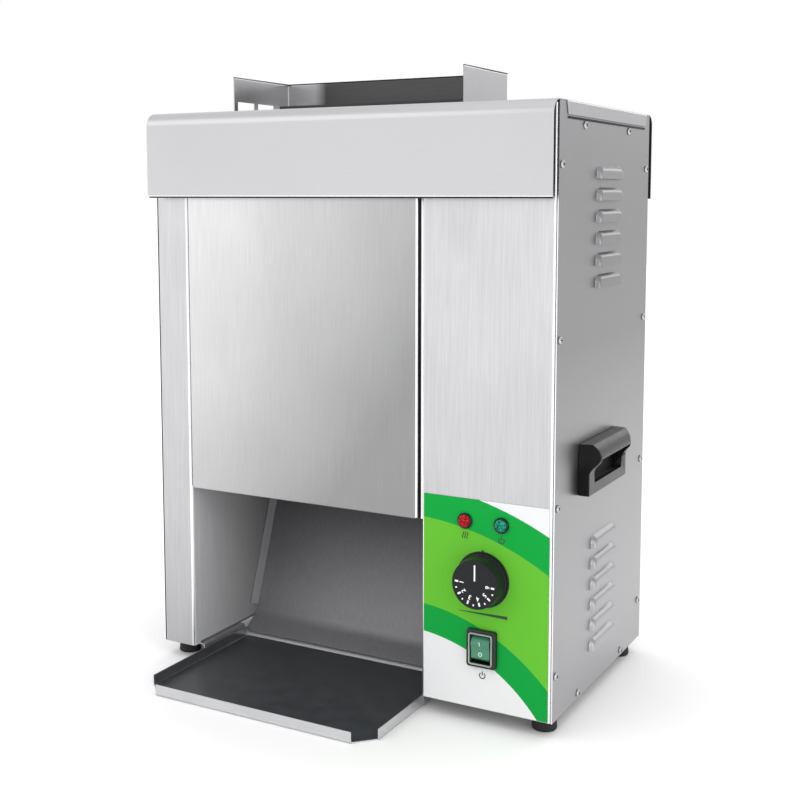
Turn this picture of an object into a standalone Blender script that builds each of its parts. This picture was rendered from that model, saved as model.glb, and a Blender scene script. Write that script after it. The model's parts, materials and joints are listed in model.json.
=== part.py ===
"""A vertical contact toaster, built as the separate pieces that it comes apart into.

The frame is that of the body: X runs from left to right about the middle of the body, Y runs from the
front face of the body to the back, and Z runs up from the underside of the body. One empty carries every
piece and sets the whole on its feet, with the origin at the bottom centre of the toaster.
Buns go in at the top on both sides of the hot platen, two belts draw them down, and they leave over the
chute onto the landing tray. All lengths are in metres.
"""
import math

import bmesh
import bpy
from mathutils import Matrix, Vector

# Body and sheet metal
BODY_WIDTH = 0.522
BODY_DEPTH = 0.301
BODY_HEIGHT = 0.657
SHEET = 0.0012
GAP = 0.0003
RETURN_DEPTH = 0.012
BEND_RADIUS = 0.0018
BEND_STEPS = 3
CUT_OVERRUN = 0.004
SMOOTH_ANGLE = math.radians(35.0)

# Front panels and the toasting bay between them
PILLAR_WIDTH = 0.047
CONTROL_PANEL_WIDTH = 0.1555
FRONT_TOP_DROP = 0.002
FASCIA_THICKNESS = 0.0006
FASCIA_HEIGHT = 0.233
FASCIA_LEFT_INSET = 0.0025
FASCIA_RIGHT_INSET = 0.005
FASCIA_BOTTOM = 0.001

# Feet and base pan
FOOT_HEIGHT = 0.018
FOOT_DIAMETER = 0.028
FOOT_TOP_DIAMETER = 0.025
FOOT_EDGE = 0.0015
FOOT_INSET_X = 0.019
FOOT_INSET_Y = 0.027
FOOT_SIDES = 16
PAN_FLANGE = 0.015
PAN_MOUTH_CLEARANCE = 0.00481

# Inner walls
WALL_FOOT = 0.015
WALL_REAR_CLEARANCE = 0.0012

# Hood
HOOD_FRONT_REACH = 0.016
HOOD_REAR_REACH = 0.013
HOOD_FRONT_ROLL = 0.0165
HOOD_REAR_ROLL = 0.0125
HOOD_ROLL_STEPS = 6
HOOD_FRONT_SKIRT = 0.099
HOOD_REAR_SKIRT = 0.102
HOOD_SIDE_FLANGE = 0.015
HOOD_FLANGE_FRONT = 0.019
HOOD_FLANGE_REAR = 0.015
HOOD_FLANGE_TAPER = 0.004
HOOD_OPENING_CLEARANCE = 0.001

# Front cover
COVER_SIDE_GAP = 0.0044
COVER_PROUD = 0.005
COVER_BOTTOM = 0.203
COVER_TOP_DROP = 0.019
COVER_RETURN = 0.013
COVER_EAR_HEIGHT = 0.040
COVER_EAR_REACH = 0.011

# Bun guard on top
GUARD_AHEAD = 0.061
GUARD_LENGTH = 0.123
GUARD_RISE = 0.0505
GUARD_SINK = 0.015
GUARD_REAR_LIFT = 0.020
GUARD_REAR_LEG = 0.012
GUARD_WINDOW_TOP = 0.020
GUARD_WINDOW_SINK = 0.004
GUARD_FRONT_POST = 0.007
GUARD_MIDDLE_POST = 0.008
GUARD_WINDOW_LENGTH = 0.036

# Platen, its cap, its release sheet and its brackets
PLATEN_SETBACK = 0.0095
PLATEN_SIDE_ROOM = 0.02875
PLATEN_PLATE = 0.0085
PLATEN_PLATE_BEVEL = 0.0012
ELEMENT_DIAMETER = 0.0064
PLATEN_TAIL = 0.010
PLATEN_TOP_DROP = 0.037
CAP_SHOULDER = 0.010
CAP_HEIGHT = 0.0524
CAP_RIDGE = 0.007
RELEASE_SHEET = 0.0004
RELEASE_INSET = 0.001
BRACKET_THICKNESS = 0.002
BRACKET_FLANGE = 0.010
BRACKET_END_CLEARANCE = 0.012

# Heating element
ELEMENT_PASSES = 6
ELEMENT_RISE = 0.064
ELEMENT_TOP_MARGIN = 0.016
ELEMENT_SIDE_MARGIN = 0.020
ELEMENT_BEND_STEPS = 6
ELEMENT_LEAD = 0.011

# Conveyors
SLOT_WIDTH = 0.025
ROLLER_RADIUS = 0.028
ROLLER_SIDE_REACH = 0.003
ROLLER_LOWER_Z = 0.300
ROLLER_TOP_DROP = 0.057
ROLLER_EDGE = 0.001
ROLLER_SIDES = 16
SHAFT_RADIUS = 0.005
SHAFT_SIDES = 12
SHAFT_TAIL = 0.005
BELT_THICKNESS = 0.003
BELT_ARC_PITCHES = 4
SLAT_SHARE = 0.32
BELT_STRIP_WIDTH = 0.012

# Bushes that carry the shafts
RUNNING_CLEARANCE = 0.00006
BUSH_HUB_RADIUS = 0.008
BUSH_FLANGE_RADIUS = 0.011
BUSH_FLANGE = 0.002
BUSH_NOSE = 0.003

# Gear train
GEAR_MODULE = 0.0024
GEAR_WIDTH = 0.008
GEAR_WALL_GAP = 0.006
DRIVE_TEETH = 30
PINION_TEETH = 14
IDLER_TEETH = 20
PRESSURE_ANGLE = math.radians(20.0)
ADDENDUM_SHARE = 0.95
DEDENDUM_SHARE = 1.25
BACKLASH = 0.0003
FLANK_SHARES = (0.0, 0.5, 1.0)
IDLER_STUD_RADIUS = 0.004
IDLER_STUD_TAIL = 0.001

# Gear motor and its bracket
MOTOR_SHAFT_RADIUS = 0.004
MOTOR_SHAFT_DEPTH = 0.012
BRACKET_GEAR_GAP = 0.004
MOTOR_BRACKET_MARGIN = 0.013
MOTOR_BRACKET_LEG_GAP = 0.005
MOTOR_BRACKET_FOOT = 0.012
MOTOR_HOLE_CLEARANCE = 0.002
GEARBOX_WIDTH = 0.064
GEARBOX_DEPTH = 0.026
GEARBOX_BEVEL = 0.004
MOTOR_CAN_RADIUS = 0.028
MOTOR_CAN_LENGTH = 0.060
MOTOR_CAN_EDGE = 0.003
MOTOR_SIDES = 24

# Chute
CHUTE_SLOPE = math.radians(70.6)
CHUTE_SETBACK = 0.0214
CHUTE_MARK_Z = 0.1409
CHUTE_TOP_Z = 0.258
CHUTE_BEND_Z = 0.004
CHUTE_TOE_Z = -0.0135
CHUTE_TOE_REACH = 0.026
CHUTE_BEND_RADIUS = 0.030
CHUTE_BEND_STEPS = 5
CHUTE_FLANGE = 0.0195

# Landing tray and its guides
TRAY_SIDE_CLEARANCE = 0.00625
TRAY_FRONT_REACH = 0.109
TRAY_REAR = 0.100
TRAY_LIP = 0.013
TRAY_CORNER = 0.020
GUIDE_FLANGE = 0.010
GUIDE_FLOOR_CLEARANCE = 0.002
GUIDE_LENGTH = 0.085

# Louvres in the right side panel
LOUVRE_COUNT = 6
LOUVRE_PITCH = 0.0240
LOUVRE_HEIGHT = 0.0145
LOUVRE_REACH = 0.0060
LOUVRE_FRONT = 0.113
LOUVRE_LENGTH = 0.083
LOUVRE_TOP_DROP = 0.0650
LOUVRE_LOWER_TOP = 0.1760
LOUVRE_COLUMN_SHARES = (0.0, 0.06, 0.20, 0.50, 0.80, 0.94, 1.0)
LOUVRE_ROW_SHARES = (0.0, 0.40, 1.0)

# Handles
HANDLE_LENGTH = 0.125
HANDLE_FRONT = 0.068
HANDLE_BOTTOM = 0.233
HANDLE_HEIGHT = 0.057
HANDLE_FACE_REACH = 0.013
HANDLE_RIDGE_REACH = 0.014
HANDLE_LIP_REACH = 0.026
HANDLE_LIP_HEIGHT = 0.041
HANDLE_LIP_EDGE = 0.003
HANDLE_SWEEP_HEIGHT = 0.017
HANDLE_SWEEP_STEPS = 6
HANDLE_CHEEK = 0.005
HANDLE_SHELL = 0.0035
HANDLE_BACK = 0.002
HANDLE_SILL = 0.012
HANDLE_BEVEL = 0.0012
HANDLE_EDGE_ANGLE = math.radians(40.0)

# Controls on the front panel
CONTROL_INSET = 0.081
KNOB_Z = 0.146
SWITCH_Z = 0.0695
LAMP_Z = 0.2086
LAMP_SPACING = 0.043
HOLE_CLEARANCE = 0.0005

# Knob
BEZEL_RADIUS = 0.031
BEZEL_THICKNESS = 0.002
BEZEL_EDGE = 0.0007
BEZEL_POINTER = 0.0025
BEZEL_POINTER_WIDTH = 0.005
BEZEL_SIDES = 36
DIAL_BASE_RADIUS = 0.0295
DIAL_FACE_RADIUS = 0.0265
DIAL_HEIGHT = 0.0195
DIAL_EDGE = 0.001
DIAL_SIDES = 40
SPINDLE_RADIUS = 0.003
SPINDLE_DEPTH = 0.016
THERMOSTAT_WIDTH = 0.036
THERMOSTAT_HEIGHT = 0.042
THERMOSTAT_DEPTH = 0.022
THERMOSTAT_NECK_RADIUS = 0.0050
THERMOSTAT_BEVEL = 0.002

# Rocker switch
SWITCH_BEZEL_WIDTH = 0.035
SWITCH_BEZEL_HEIGHT = 0.042
SWITCH_BEZEL_DEPTH = 0.0045
SWITCH_BEZEL_BEVEL = 0.0015
SWITCH_BODY_WIDTH = 0.027
SWITCH_BODY_HEIGHT = 0.037
SWITCH_BODY_DEPTH = 0.024
SWITCH_WALL = 0.0022
ROCKER_RADIUS = 0.0158
ROCKER_PIVOT_DEPTH = 0.0065
ROCKER_DISH = 0.0012
ROCKER_RISE = 0.0025
ROCKER_HUB_RADIUS = 0.006
ROCKER_CLEARANCE = 0.0004
ROCKER_TILT = math.radians(8.0)
ROCKER_WRAP = math.radians(12.0)
ROCKER_ARC_STEPS = 4

# Lamps
LAMP_BEZEL_RADIUS = 0.0087
LAMP_BEZEL_DEPTH = 0.0026
LAMP_BARREL_RADIUS = 0.0058
LAMP_BARREL_LENGTH = 0.020
LAMP_LENS_RADIUS = 0.0066
LAMP_LENS_SEAT = 0.0012
LAMP_LENS_HEIGHT = 0.0042
LAMP_LENS_SIDES = 12
LAMP_LENS_CROWN_SHARES = ((1.0, 0.35), (0.72, 0.80), (0.34, 1.0))
LAMP_SIDES = 16

# Terminal block and cable gland
TERMINAL_INSET = 0.060
TERMINAL_REAR_INSET = 0.066
TERMINAL_POLES = 4
TERMINAL_PITCH = 0.014
TERMINAL_DEPTH = 0.026
TERMINAL_BASE = 0.010
TERMINAL_RIB = 0.012
TERMINAL_RIB_WIDTH = 0.003
GLAND_INSET = 0.060
GLAND_Z = 0.060
GLAND_THREAD_RADIUS = 0.0100
GLAND_NUT_RADIUS = 0.0138
GLAND_COLLAR = 0.006
GLAND_CAP_RADIUS = 0.0120
GLAND_CAP_LENGTH = 0.011
GLAND_MOUTH_RADIUS = 0.0075
GLAND_MOUTH_LENGTH = 0.005
GLAND_BORE_RADIUS = 0.0048
GLAND_LOCKNUT = 0.005
GLAND_TAIL = 0.004
GLAND_SIDES = 12

# Places that follow from the sizes above
LEFT = -BODY_WIDTH / 2.0
RIGHT = BODY_WIDTH / 2.0
BAY_LEFT = LEFT + PILLAR_WIDTH
BAY_RIGHT = RIGHT - CONTROL_PANEL_WIDTH
BAY_CENTRE = (BAY_LEFT + BAY_RIGHT) / 2.0
BAY_WIDTH = BAY_RIGHT - BAY_LEFT
INSIDE_LEFT = LEFT + SHEET + GAP
INSIDE_RIGHT = RIGHT - SHEET - GAP
UNDER_HOOD = BODY_HEIGHT - SHEET - GAP
PAN_FRONT = RETURN_DEPTH + GAP
PAN_TOP = SHEET + GAP
WALL_TOP = BODY_HEIGHT - GUARD_SINK - GAP
WALL_REAR = BODY_DEPTH - SHEET - WALL_REAR_CLEARANCE
PLATEN_CENTRE_Y = BODY_DEPTH / 2.0 + PLATEN_SETBACK
PLATEN_WIDTH = BAY_WIDTH - 2.0 * PLATEN_SIDE_ROOM
PLATEN_BOTTOM = ROLLER_LOWER_Z - PLATEN_TAIL
PLATEN_TOP = BODY_HEIGHT - PLATEN_TOP_DROP
PLATEN_GAP = ELEMENT_DIAMETER + 2.0 * GAP
PLATEN_DEPTH = 2.0 * PLATEN_PLATE + PLATEN_GAP
ELEMENT_LOWEST = ROLLER_LOWER_Z + ELEMENT_RISE
ELEMENT_HIGHEST = PLATEN_TOP - ELEMENT_TOP_MARGIN
ELEMENT_PITCH = (ELEMENT_HIGHEST - ELEMENT_LOWEST) / (ELEMENT_PASSES - 1)
ROLLER_UPPER_Z = BODY_HEIGHT - ROLLER_TOP_DROP
GUARD_FRONT = PLATEN_CENTRE_Y - GUARD_AHEAD
CHUTE_MARK_Y = PLATEN_CENTRE_Y + CHUTE_SETBACK
PAN_MOUTH_REAR = (CHUTE_MARK_Y - (CHUTE_MARK_Z - CHUTE_BEND_Z) / math.tan(CHUTE_SLOPE)
                  + PAN_MOUTH_CLEARANCE)
LOUVRE_UPPER_TOP = BODY_HEIGHT - LOUVRE_TOP_DROP
BELT_STEP = math.pi / BELT_ARC_PITCHES
BELT_GAP_STEP = BELT_STEP * (1.0 - SLAT_SHARE)
BELT_RADIUS = (ROLLER_RADIUS + GAP + BELT_THICKNESS / 2.0) / math.cos(BELT_GAP_STEP / 2.0)
BELT_OUTER = BELT_RADIUS + BELT_THICKNESS / 2.0
FRONT_AXIS_Y = PLATEN_CENTRE_Y - PLATEN_DEPTH / 2.0 - SLOT_WIDTH - BELT_OUTER
REAR_AXIS_Y = PLATEN_CENTRE_Y + PLATEN_DEPTH / 2.0 + SLOT_WIDTH + BELT_OUTER
DRIVE_RADIUS = GEAR_MODULE * DRIVE_TEETH / 2.0
PINION_RADIUS = GEAR_MODULE * PINION_TEETH / 2.0
IDLER_RADIUS = GEAR_MODULE * IDLER_TEETH / 2.0
GEAR_LEFT = BAY_RIGHT + SHEET + GEAR_WALL_GAP
GEAR_RIGHT = GEAR_LEFT + GEAR_WIDTH
MOTOR_PLATE_X = GEAR_RIGHT + BRACKET_GEAR_GAP
TRAY_WIDTH = BAY_WIDTH - 2.0 * TRAY_SIDE_CLEARANCE
GUIDE_X = TRAY_WIDTH / 2.0 + GAP
REAR_REACH = max(HOOD_REAR_REACH, GLAND_COLLAR + GLAND_CAP_LENGTH + GLAND_MOUTH_LENGTH + GAP)
FASCIA_FACE = -GAP - FASCIA_THICKNESS
CONTROL_X = RIGHT - CONTROL_INSET

X_AXIS = Vector((1.0, 0.0, 0.0))
Y_AXIS = Vector((0.0, 1.0, 0.0))
Z_AXIS = Vector((0.0, 0.0, 1.0))
TO_X = Matrix.Rotation(math.pi / 2.0, 4, "Y")
TO_FRONT = Matrix.Rotation(math.pi / 2.0, 4, "X")


def clear_scene():
    """Removes what a new scene holds."""
    for old in list(bpy.data.objects):
        bpy.data.objects.remove(old, do_unlink=True)


def material(name, colour, roughness, metallic=0.0):
    """Makes a Principled material from a linear colour."""
    made = bpy.data.materials.new(name)
    made.use_nodes = True
    shader = made.node_tree.nodes["Principled BSDF"]
    shader.inputs["Base Color"].default_value = (*colour, 1.0)
    shader.inputs["Roughness"].default_value = roughness
    shader.inputs["Metallic"].default_value = metallic
    return made


def add_object(name, data, place=(0.0, 0.0, 0.0), finish=None, turn=(0.0, 0.0, 0.0)):
    """Links one piece under the body frame at its place."""
    made = bpy.data.objects.new(name, data)
    bpy.context.scene.collection.objects.link(made)
    made.parent = body_frame
    made.location = place
    made.rotation_euler = turn
    if finish is not None:
        data.materials.append(finish)
    return made


def piece(name, bm, place=(0.0, 0.0, 0.0), finish=None, turn=(0.0, 0.0, 0.0), smooth=False):
    """Turns a bmesh into a named object, with round faces shaded smooth where asked."""
    mesh = bpy.data.meshes.new(name)
    bm.to_mesh(mesh)
    bm.free()
    if smooth:
        mesh.shade_smooth()
        mesh.set_sharp_from_angle(angle=SMOOTH_ANGLE)
    return add_object(name, mesh, place, finish, turn)


def thicken(obj, thickness, offset=-1.0):
    """Gives a sheet its thickness, behind its faces unless offset says otherwise."""
    shell = obj.modifiers.new("Sheet", "SOLIDIFY")
    shell.thickness = thickness
    shell.offset = offset
    shell.use_even_offset = True
    return obj


def combine(obj, tool, operation):
    """Joins or cuts with a hidden tool object."""
    tool.hide_render = True
    tool.display_type = "WIRE"
    step = obj.modifiers.new(tool.name, "BOOLEAN")
    step.operation = operation
    step.solver = "EXACT"
    step.object = tool


def fill_outline(bm, loops, to_point, normal):
    """Fills flat outlines, the first one outside and the others as holes in it."""
    edges = []
    for loop in loops:
        corners = [bm.verts.new(to_point(u, v)) for u, v in loop]
        for here, after in zip(corners, corners[1:] + corners[:1]):
            edges.append(bm.edges.new((here, after)))
    made = bmesh.ops.triangle_fill(bm, use_beauty=True, use_dissolve=False, edges=edges, normal=normal)
    faces = [item for item in made["geom"] if isinstance(item, bmesh.types.BMFace)]
    for face in faces:
        face.normal_update()
        if face.normal.dot(normal) < 0.0:
            face.normal_flip()
    return faces


def slab(loops, to_point, normal, thickness):
    """Makes a solid plate from outlines: it grows from the outline against the normal."""
    bm = bmesh.new()
    faces = fill_outline(bm, loops, to_point, normal)
    grown = bmesh.ops.extrude_face_region(bm, geom=faces, use_keep_orig=True)
    moved = [item for item in grown["geom"] if isinstance(item, bmesh.types.BMVert)]
    bmesh.ops.translate(bm, verts=moved, vec=-normal * thickness)
    bmesh.ops.recalc_face_normals(bm, faces=bm.faces)
    return bm


def in_xy(z):
    """Places outline points in the XY plane at one height."""
    return lambda u, v: (u, v, z)


def in_xz(y):
    """Places outline points in the XZ plane at one depth."""
    return lambda u, v: (u, y, v)


def in_yz(x):
    """Places outline points in the YZ plane at one side."""
    return lambda u, v: (x, u, v)


def rectangle(low_u, high_u, low_v, high_v):
    """Gives the corners of a rectangle."""
    return [(low_u, low_v), (high_u, low_v), (high_u, high_v), (low_u, high_v)]


def circle(centre_u, centre_v, radius, sides):
    """Gives points round a circle."""
    steps = [2.0 * math.pi * index / sides for index in range(sides)]
    return [(centre_u + radius * math.cos(a), centre_v + radius * math.sin(a)) for a in steps]


def edges_on(bm, test):
    """Finds the open edges of a sheet whose two ends pass a test."""
    return [e for e in bm.edges if e.is_boundary and all(test(vert.co) for vert in e.verts)]


def near(value, target):
    """Compares two coordinates of one outline."""
    return abs(value - target) < SHEET / 10.0


def fold(bm, edges, outward, down, radius, reach, steps=BEND_STEPS):
    """Bends a flange on a sheet's open edges: a quarter bend, then straight to its reach."""
    shifts = [radius * (math.sin(a) * outward + (1.0 - math.cos(a)) * down)
              for a in [math.pi / 2.0 * (index + 1) / steps for index in range(steps)]]
    shifts.append(shifts[-1] + (reach - radius) * down)
    done = Vector((0.0, 0.0, 0.0))
    for shift in shifts:
        grown = bmesh.ops.extrude_edge_only(bm, edges=edges)
        moved = [item for item in grown["geom"] if isinstance(item, bmesh.types.BMVert)]
        bmesh.ops.translate(bm, verts=moved, vec=shift - done)
        edges = [item for item in grown["geom"] if isinstance(item, bmesh.types.BMEdge)
                 and all(vert in moved for vert in item.verts)]
        done = shift
    return edges


def agree_normals(bm, outside):
    """Turns a sheet's faces the same way, with the face nearest a direction facing it."""
    bmesh.ops.recalc_face_normals(bm, faces=bm.faces)
    largest = max(bm.faces, key=lambda face: abs(face.normal.dot(outside)) * face.calc_area())
    if largest.normal.dot(outside) < 0.0:
        bmesh.ops.reverse_faces(bm, faces=bm.faces)


def rounded(points, radius, steps=BEND_STEPS):
    """Replaces the inner corners of a path with arcs."""
    path = [Vector(points[0])]
    for before, corner, after in zip(points, points[1:], points[2:]):
        corner = Vector(corner)
        back = (Vector(before) - corner).normalized()
        ahead = (Vector(after) - corner).normalized()
        half = back.angle(ahead) / 2.0
        setback = radius / math.tan(half)
        centre = corner + (back + ahead).normalized() * (radius / math.sin(half))
        start = corner + back * setback - centre
        finish = corner + ahead * setback - centre
        sweep = start.angle(finish)
        for index in range(steps + 1):
            share = index / steps
            blend = math.sin((1.0 - share) * sweep) * start + math.sin(share * sweep) * finish
            path.append(centre + blend / math.sin(sweep))
    path.append(Vector(points[-1]))
    return path


def strip(path, to_point, along, length):
    """Draws a path out into a sheet."""
    bm = bmesh.new()
    line = [bm.verts.new(to_point(*point)) for point in path]
    edges = [bm.edges.new(pair) for pair in zip(line, line[1:])]
    grown = bmesh.ops.extrude_edge_only(bm, edges=edges)
    moved = [item for item in grown["geom"] if isinstance(item, bmesh.types.BMVert)]
    bmesh.ops.translate(bm, verts=moved, vec=along * length)
    bmesh.ops.recalc_face_normals(bm, faces=bm.faces)
    return bm


def turned(profile, sides, ring=False, to_axis=None):
    """Turns a profile of (radius, height) points about Z, then lays the result on another axis."""
    bm = bmesh.new()
    line = [bm.verts.new((radius, 0.0, height)) for radius, height in profile]
    pairs = list(zip(line, line[1:]))
    if ring:
        pairs.append((line[-1], line[0]))
    edges = [bm.edges.new(pair) for pair in pairs]
    bmesh.ops.spin(bm, geom=line + edges, cent=(0.0, 0.0, 0.0), axis=Z_AXIS, dvec=(0.0, 0.0, 0.0),
                   angle=2.0 * math.pi, steps=sides, use_merge=True, use_duplicate=False)
    bmesh.ops.remove_doubles(bm, verts=bm.verts, dist=GAP / 100.0)
    bmesh.ops.recalc_face_normals(bm, faces=bm.faces)
    if to_axis is not None:
        bmesh.ops.transform(bm, matrix=to_axis, verts=bm.verts)
    return bm


def block(width, depth, height, bevel=0.0, segments=2):
    """Makes a block about its centre, with rounded edges where asked."""
    bm = bmesh.new()
    bmesh.ops.create_cube(bm, size=1.0)
    bmesh.ops.scale(bm, verts=bm.verts, vec=(width, depth, height))
    if bevel > 0.0:
        bmesh.ops.bevel(bm, geom=bm.edges, offset=bevel, offset_type="OFFSET", segments=segments,
                        profile=0.5, affect="EDGES", clamp_overlap=True, material=-1)
    return bm


def bore_radius(shaft_radius, sides):
    """Gives the corner radius of a faceted bore that a shaft turns in freely."""
    return (shaft_radius + RUNNING_CLEARANCE) / math.cos(math.pi / sides)


def base_pan():
    """The floor of the body, open in front of the chute, with flanges turned up at its edges."""
    low_x = INSIDE_LEFT + BEND_RADIUS
    high_x = INSIDE_RIGHT - BEND_RADIUS
    high_y = BODY_DEPTH - BEND_RADIUS
    outline = [(low_x, PAN_FRONT), (BAY_LEFT, PAN_FRONT), (BAY_LEFT, PAN_MOUTH_REAR),
               (BAY_RIGHT, PAN_MOUTH_REAR), (BAY_RIGHT, PAN_FRONT), (high_x, PAN_FRONT),
               (high_x, high_y), (low_x, high_y)]
    bm = bmesh.new()
    fill_outline(bm, [outline], in_xy(0.0), -Z_AXIS)
    fold(bm, edges_on(bm, lambda co: near(co.x, low_x)), -X_AXIS, Z_AXIS, BEND_RADIUS, PAN_FLANGE)
    fold(bm, edges_on(bm, lambda co: near(co.x, high_x) and near(co.z, 0.0)), X_AXIS, Z_AXIS,
         BEND_RADIUS, PAN_FLANGE)
    rear = edges_on(bm, lambda co: near(co.y, high_y) and near(co.z, 0.0)
                    and low_x - GAP < co.x < high_x + GAP)
    fold(bm, rear, Y_AXIS, Z_AXIS, BEND_RADIUS, PAN_FLANGE)
    agree_normals(bm, -Z_AXIS)
    return thicken(piece("base_pan", bm, finish=STEEL_INNER), SHEET)


def feet():
    """Four rubber feet under the corners of the base pan."""
    bottom = FOOT_DIAMETER / 2.0
    top = FOOT_TOP_DIAMETER / 2.0
    profile = [(0.0, 0.0), (bottom - FOOT_EDGE, 0.0), (bottom, FOOT_EDGE), (top, FOOT_HEIGHT - GAP),
               (0.0, FOOT_HEIGHT - GAP)]
    for side, x in (("left", LEFT + FOOT_INSET_X), ("right", RIGHT - FOOT_INSET_X)):
        for end, y in (("front", FOOT_INSET_Y), ("rear", BODY_DEPTH - FOOT_INSET_Y)):
            piece(f"foot_{end}_{side}", turned(profile, FOOT_SIDES), (x, y, -FOOT_HEIGHT), RUBBER,
                  smooth=True)


def left_side_panel():
    """The plain side panel on the left."""
    outline = rectangle(0.0, BODY_DEPTH, 0.0, UNDER_HOOD)
    piece("left_side_panel", slab([outline], in_yz(0.0), -X_AXIS, SHEET), (LEFT, 0.0, 0.0), STEEL_SIDE)


def louvre_bulge(along_share, down_share):
    """Gives how far a louvre stands out, as a share of its reach."""
    ends = 1.0 - (2.0 * along_share - 1.0) ** 4
    return ends * math.sin(math.pi / 2.0 * down_share)


def louvre_rows():
    """Lists the heights across the panel, each with its share down a louvre, or None on flat sheet."""
    tops = [start - LOUVRE_PITCH * index
            for start in (LOUVRE_UPPER_TOP, LOUVRE_LOWER_TOP) for index in range(LOUVRE_COUNT)]
    rows = [(UNDER_HOOD, None)]
    for top in tops:
        rows += [(top - LOUVRE_HEIGHT * share, share) for share in LOUVRE_ROW_SHARES]
    rows.append((0.0, None))
    return rows


def right_side_panel():
    """The side panel on the right: one sheet with two banks of louvres pressed out of it.

    Each louvre bulges out of the sheet from its top edge and is torn open along its bottom edge, so the
    sheet has two rows of points there: the lip, pushed out, and the sill, which stays flat.
    """
    bm = bmesh.new()
    columns = [LOUVRE_FRONT + LOUVRE_LENGTH * share for share in LOUVRE_COLUMN_SHARES]
    last = len(columns) - 1
    rows = []
    for height, share in louvre_rows():
        sill = [bm.verts.new((0.0, y, height)) for y in [0.0] + columns + [BODY_DEPTH]]
        lip = list(sill)
        if share is not None and share > 0.0:
            for index in range(1, last):
                out = LOUVRE_REACH * louvre_bulge(LOUVRE_COLUMN_SHARES[index], share)
                lip[index + 1] = sill[index + 1]
                if share < 1.0:
                    sill[index + 1].co.x = out
                else:
                    lip[index + 1] = bm.verts.new((out, columns[index], height))
        rows.append((sill, lip))
    for (upper_sill, _), (_, lower_lip) in zip(rows, rows[1:]):
        for index in range(last + 2):
            bm.faces.new((upper_sill[index], lower_lip[index], lower_lip[index + 1],
                          upper_sill[index + 1]))
    agree_normals(bm, X_AXIS)
    thicken(piece("right_side_panel", bm, (RIGHT, 0.0, 0.0), STEEL_SIDE), SHEET)


def front_sheet(name, left, right, holes=()):
    """A front panel with a return bent back along each side edge."""
    low = left + BEND_RADIUS
    high = right - BEND_RADIUS
    top = UNDER_HOOD - FRONT_TOP_DROP
    bm = bmesh.new()
    fill_outline(bm, [rectangle(low, high, 0.0, top), *holes], in_xz(0.0), -Y_AXIS)
    fold(bm, edges_on(bm, lambda co: near(co.x, low)), -X_AXIS, Y_AXIS, BEND_RADIUS, RETURN_DEPTH)
    fold(bm, edges_on(bm, lambda co: near(co.x, high)), X_AXIS, Y_AXIS, BEND_RADIUS, RETURN_DEPTH)
    agree_normals(bm, -Y_AXIS)
    return thicken(piece(name, bm, finish=STEEL_BRUSHED), SHEET)


def control_holes():
    """The holes for the lamps, the knob's spindle and the switch, shared by panel and fascia."""
    lamp = LAMP_BARREL_RADIUS + HOLE_CLEARANCE
    half_width = SWITCH_BODY_WIDTH / 2.0 + HOLE_CLEARANCE
    half_height = SWITCH_BODY_HEIGHT / 2.0 + HOLE_CLEARANCE
    return [circle(CONTROL_X - LAMP_SPACING / 2.0, LAMP_Z, lamp, LAMP_SIDES),
            circle(CONTROL_X + LAMP_SPACING / 2.0, LAMP_Z, lamp, LAMP_SIDES),
            circle(CONTROL_X, KNOB_Z, THERMOSTAT_NECK_RADIUS + HOLE_CLEARANCE, SHAFT_SIDES),
            rectangle(CONTROL_X - half_width, CONTROL_X + half_width,
                      SWITCH_Z - half_height, SWITCH_Z + half_height)]


def front_panels():
    """The pillar on the left, the control panel on the right and the fascia laid on it."""
    front_sheet("left_front_pillar", INSIDE_LEFT, BAY_LEFT)
    front_sheet("right_front_panel", BAY_RIGHT, INSIDE_RIGHT, control_holes())
    outline = rectangle(BAY_RIGHT + FASCIA_LEFT_INSET, RIGHT - FASCIA_RIGHT_INSET,
                        FASCIA_BOTTOM, FASCIA_HEIGHT)
    fascia = slab([outline, *control_holes()], in_xz(FASCIA_FACE), -Y_AXIS, FASCIA_THICKNESS)
    piece("control_fascia", fascia, finish=FASCIA_FILM)


def rear_panel():
    """The back of the body, with returns along the side panels and a hole for the cable gland."""
    low = INSIDE_LEFT + BEND_RADIUS
    high = INSIDE_RIGHT - BEND_RADIUS
    bottom = PAN_FLANGE + GAP
    bm = bmesh.new()
    hole = circle(RIGHT - GLAND_INSET, GLAND_Z, GLAND_THREAD_RADIUS + GAP, 2 * GLAND_SIDES)
    fill_outline(bm, [rectangle(low, high, bottom, UNDER_HOOD), hole], in_xz(BODY_DEPTH), Y_AXIS)
    fold(bm, edges_on(bm, lambda co: near(co.x, low)), -X_AXIS, -Y_AXIS, BEND_RADIUS, RETURN_DEPTH)
    fold(bm, edges_on(bm, lambda co: near(co.x, high)), X_AXIS, -Y_AXIS, BEND_RADIUS, RETURN_DEPTH)
    agree_normals(bm, Y_AXIS)
    thicken(piece("rear_panel", bm, finish=STEEL_SIDE), SHEET)


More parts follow.
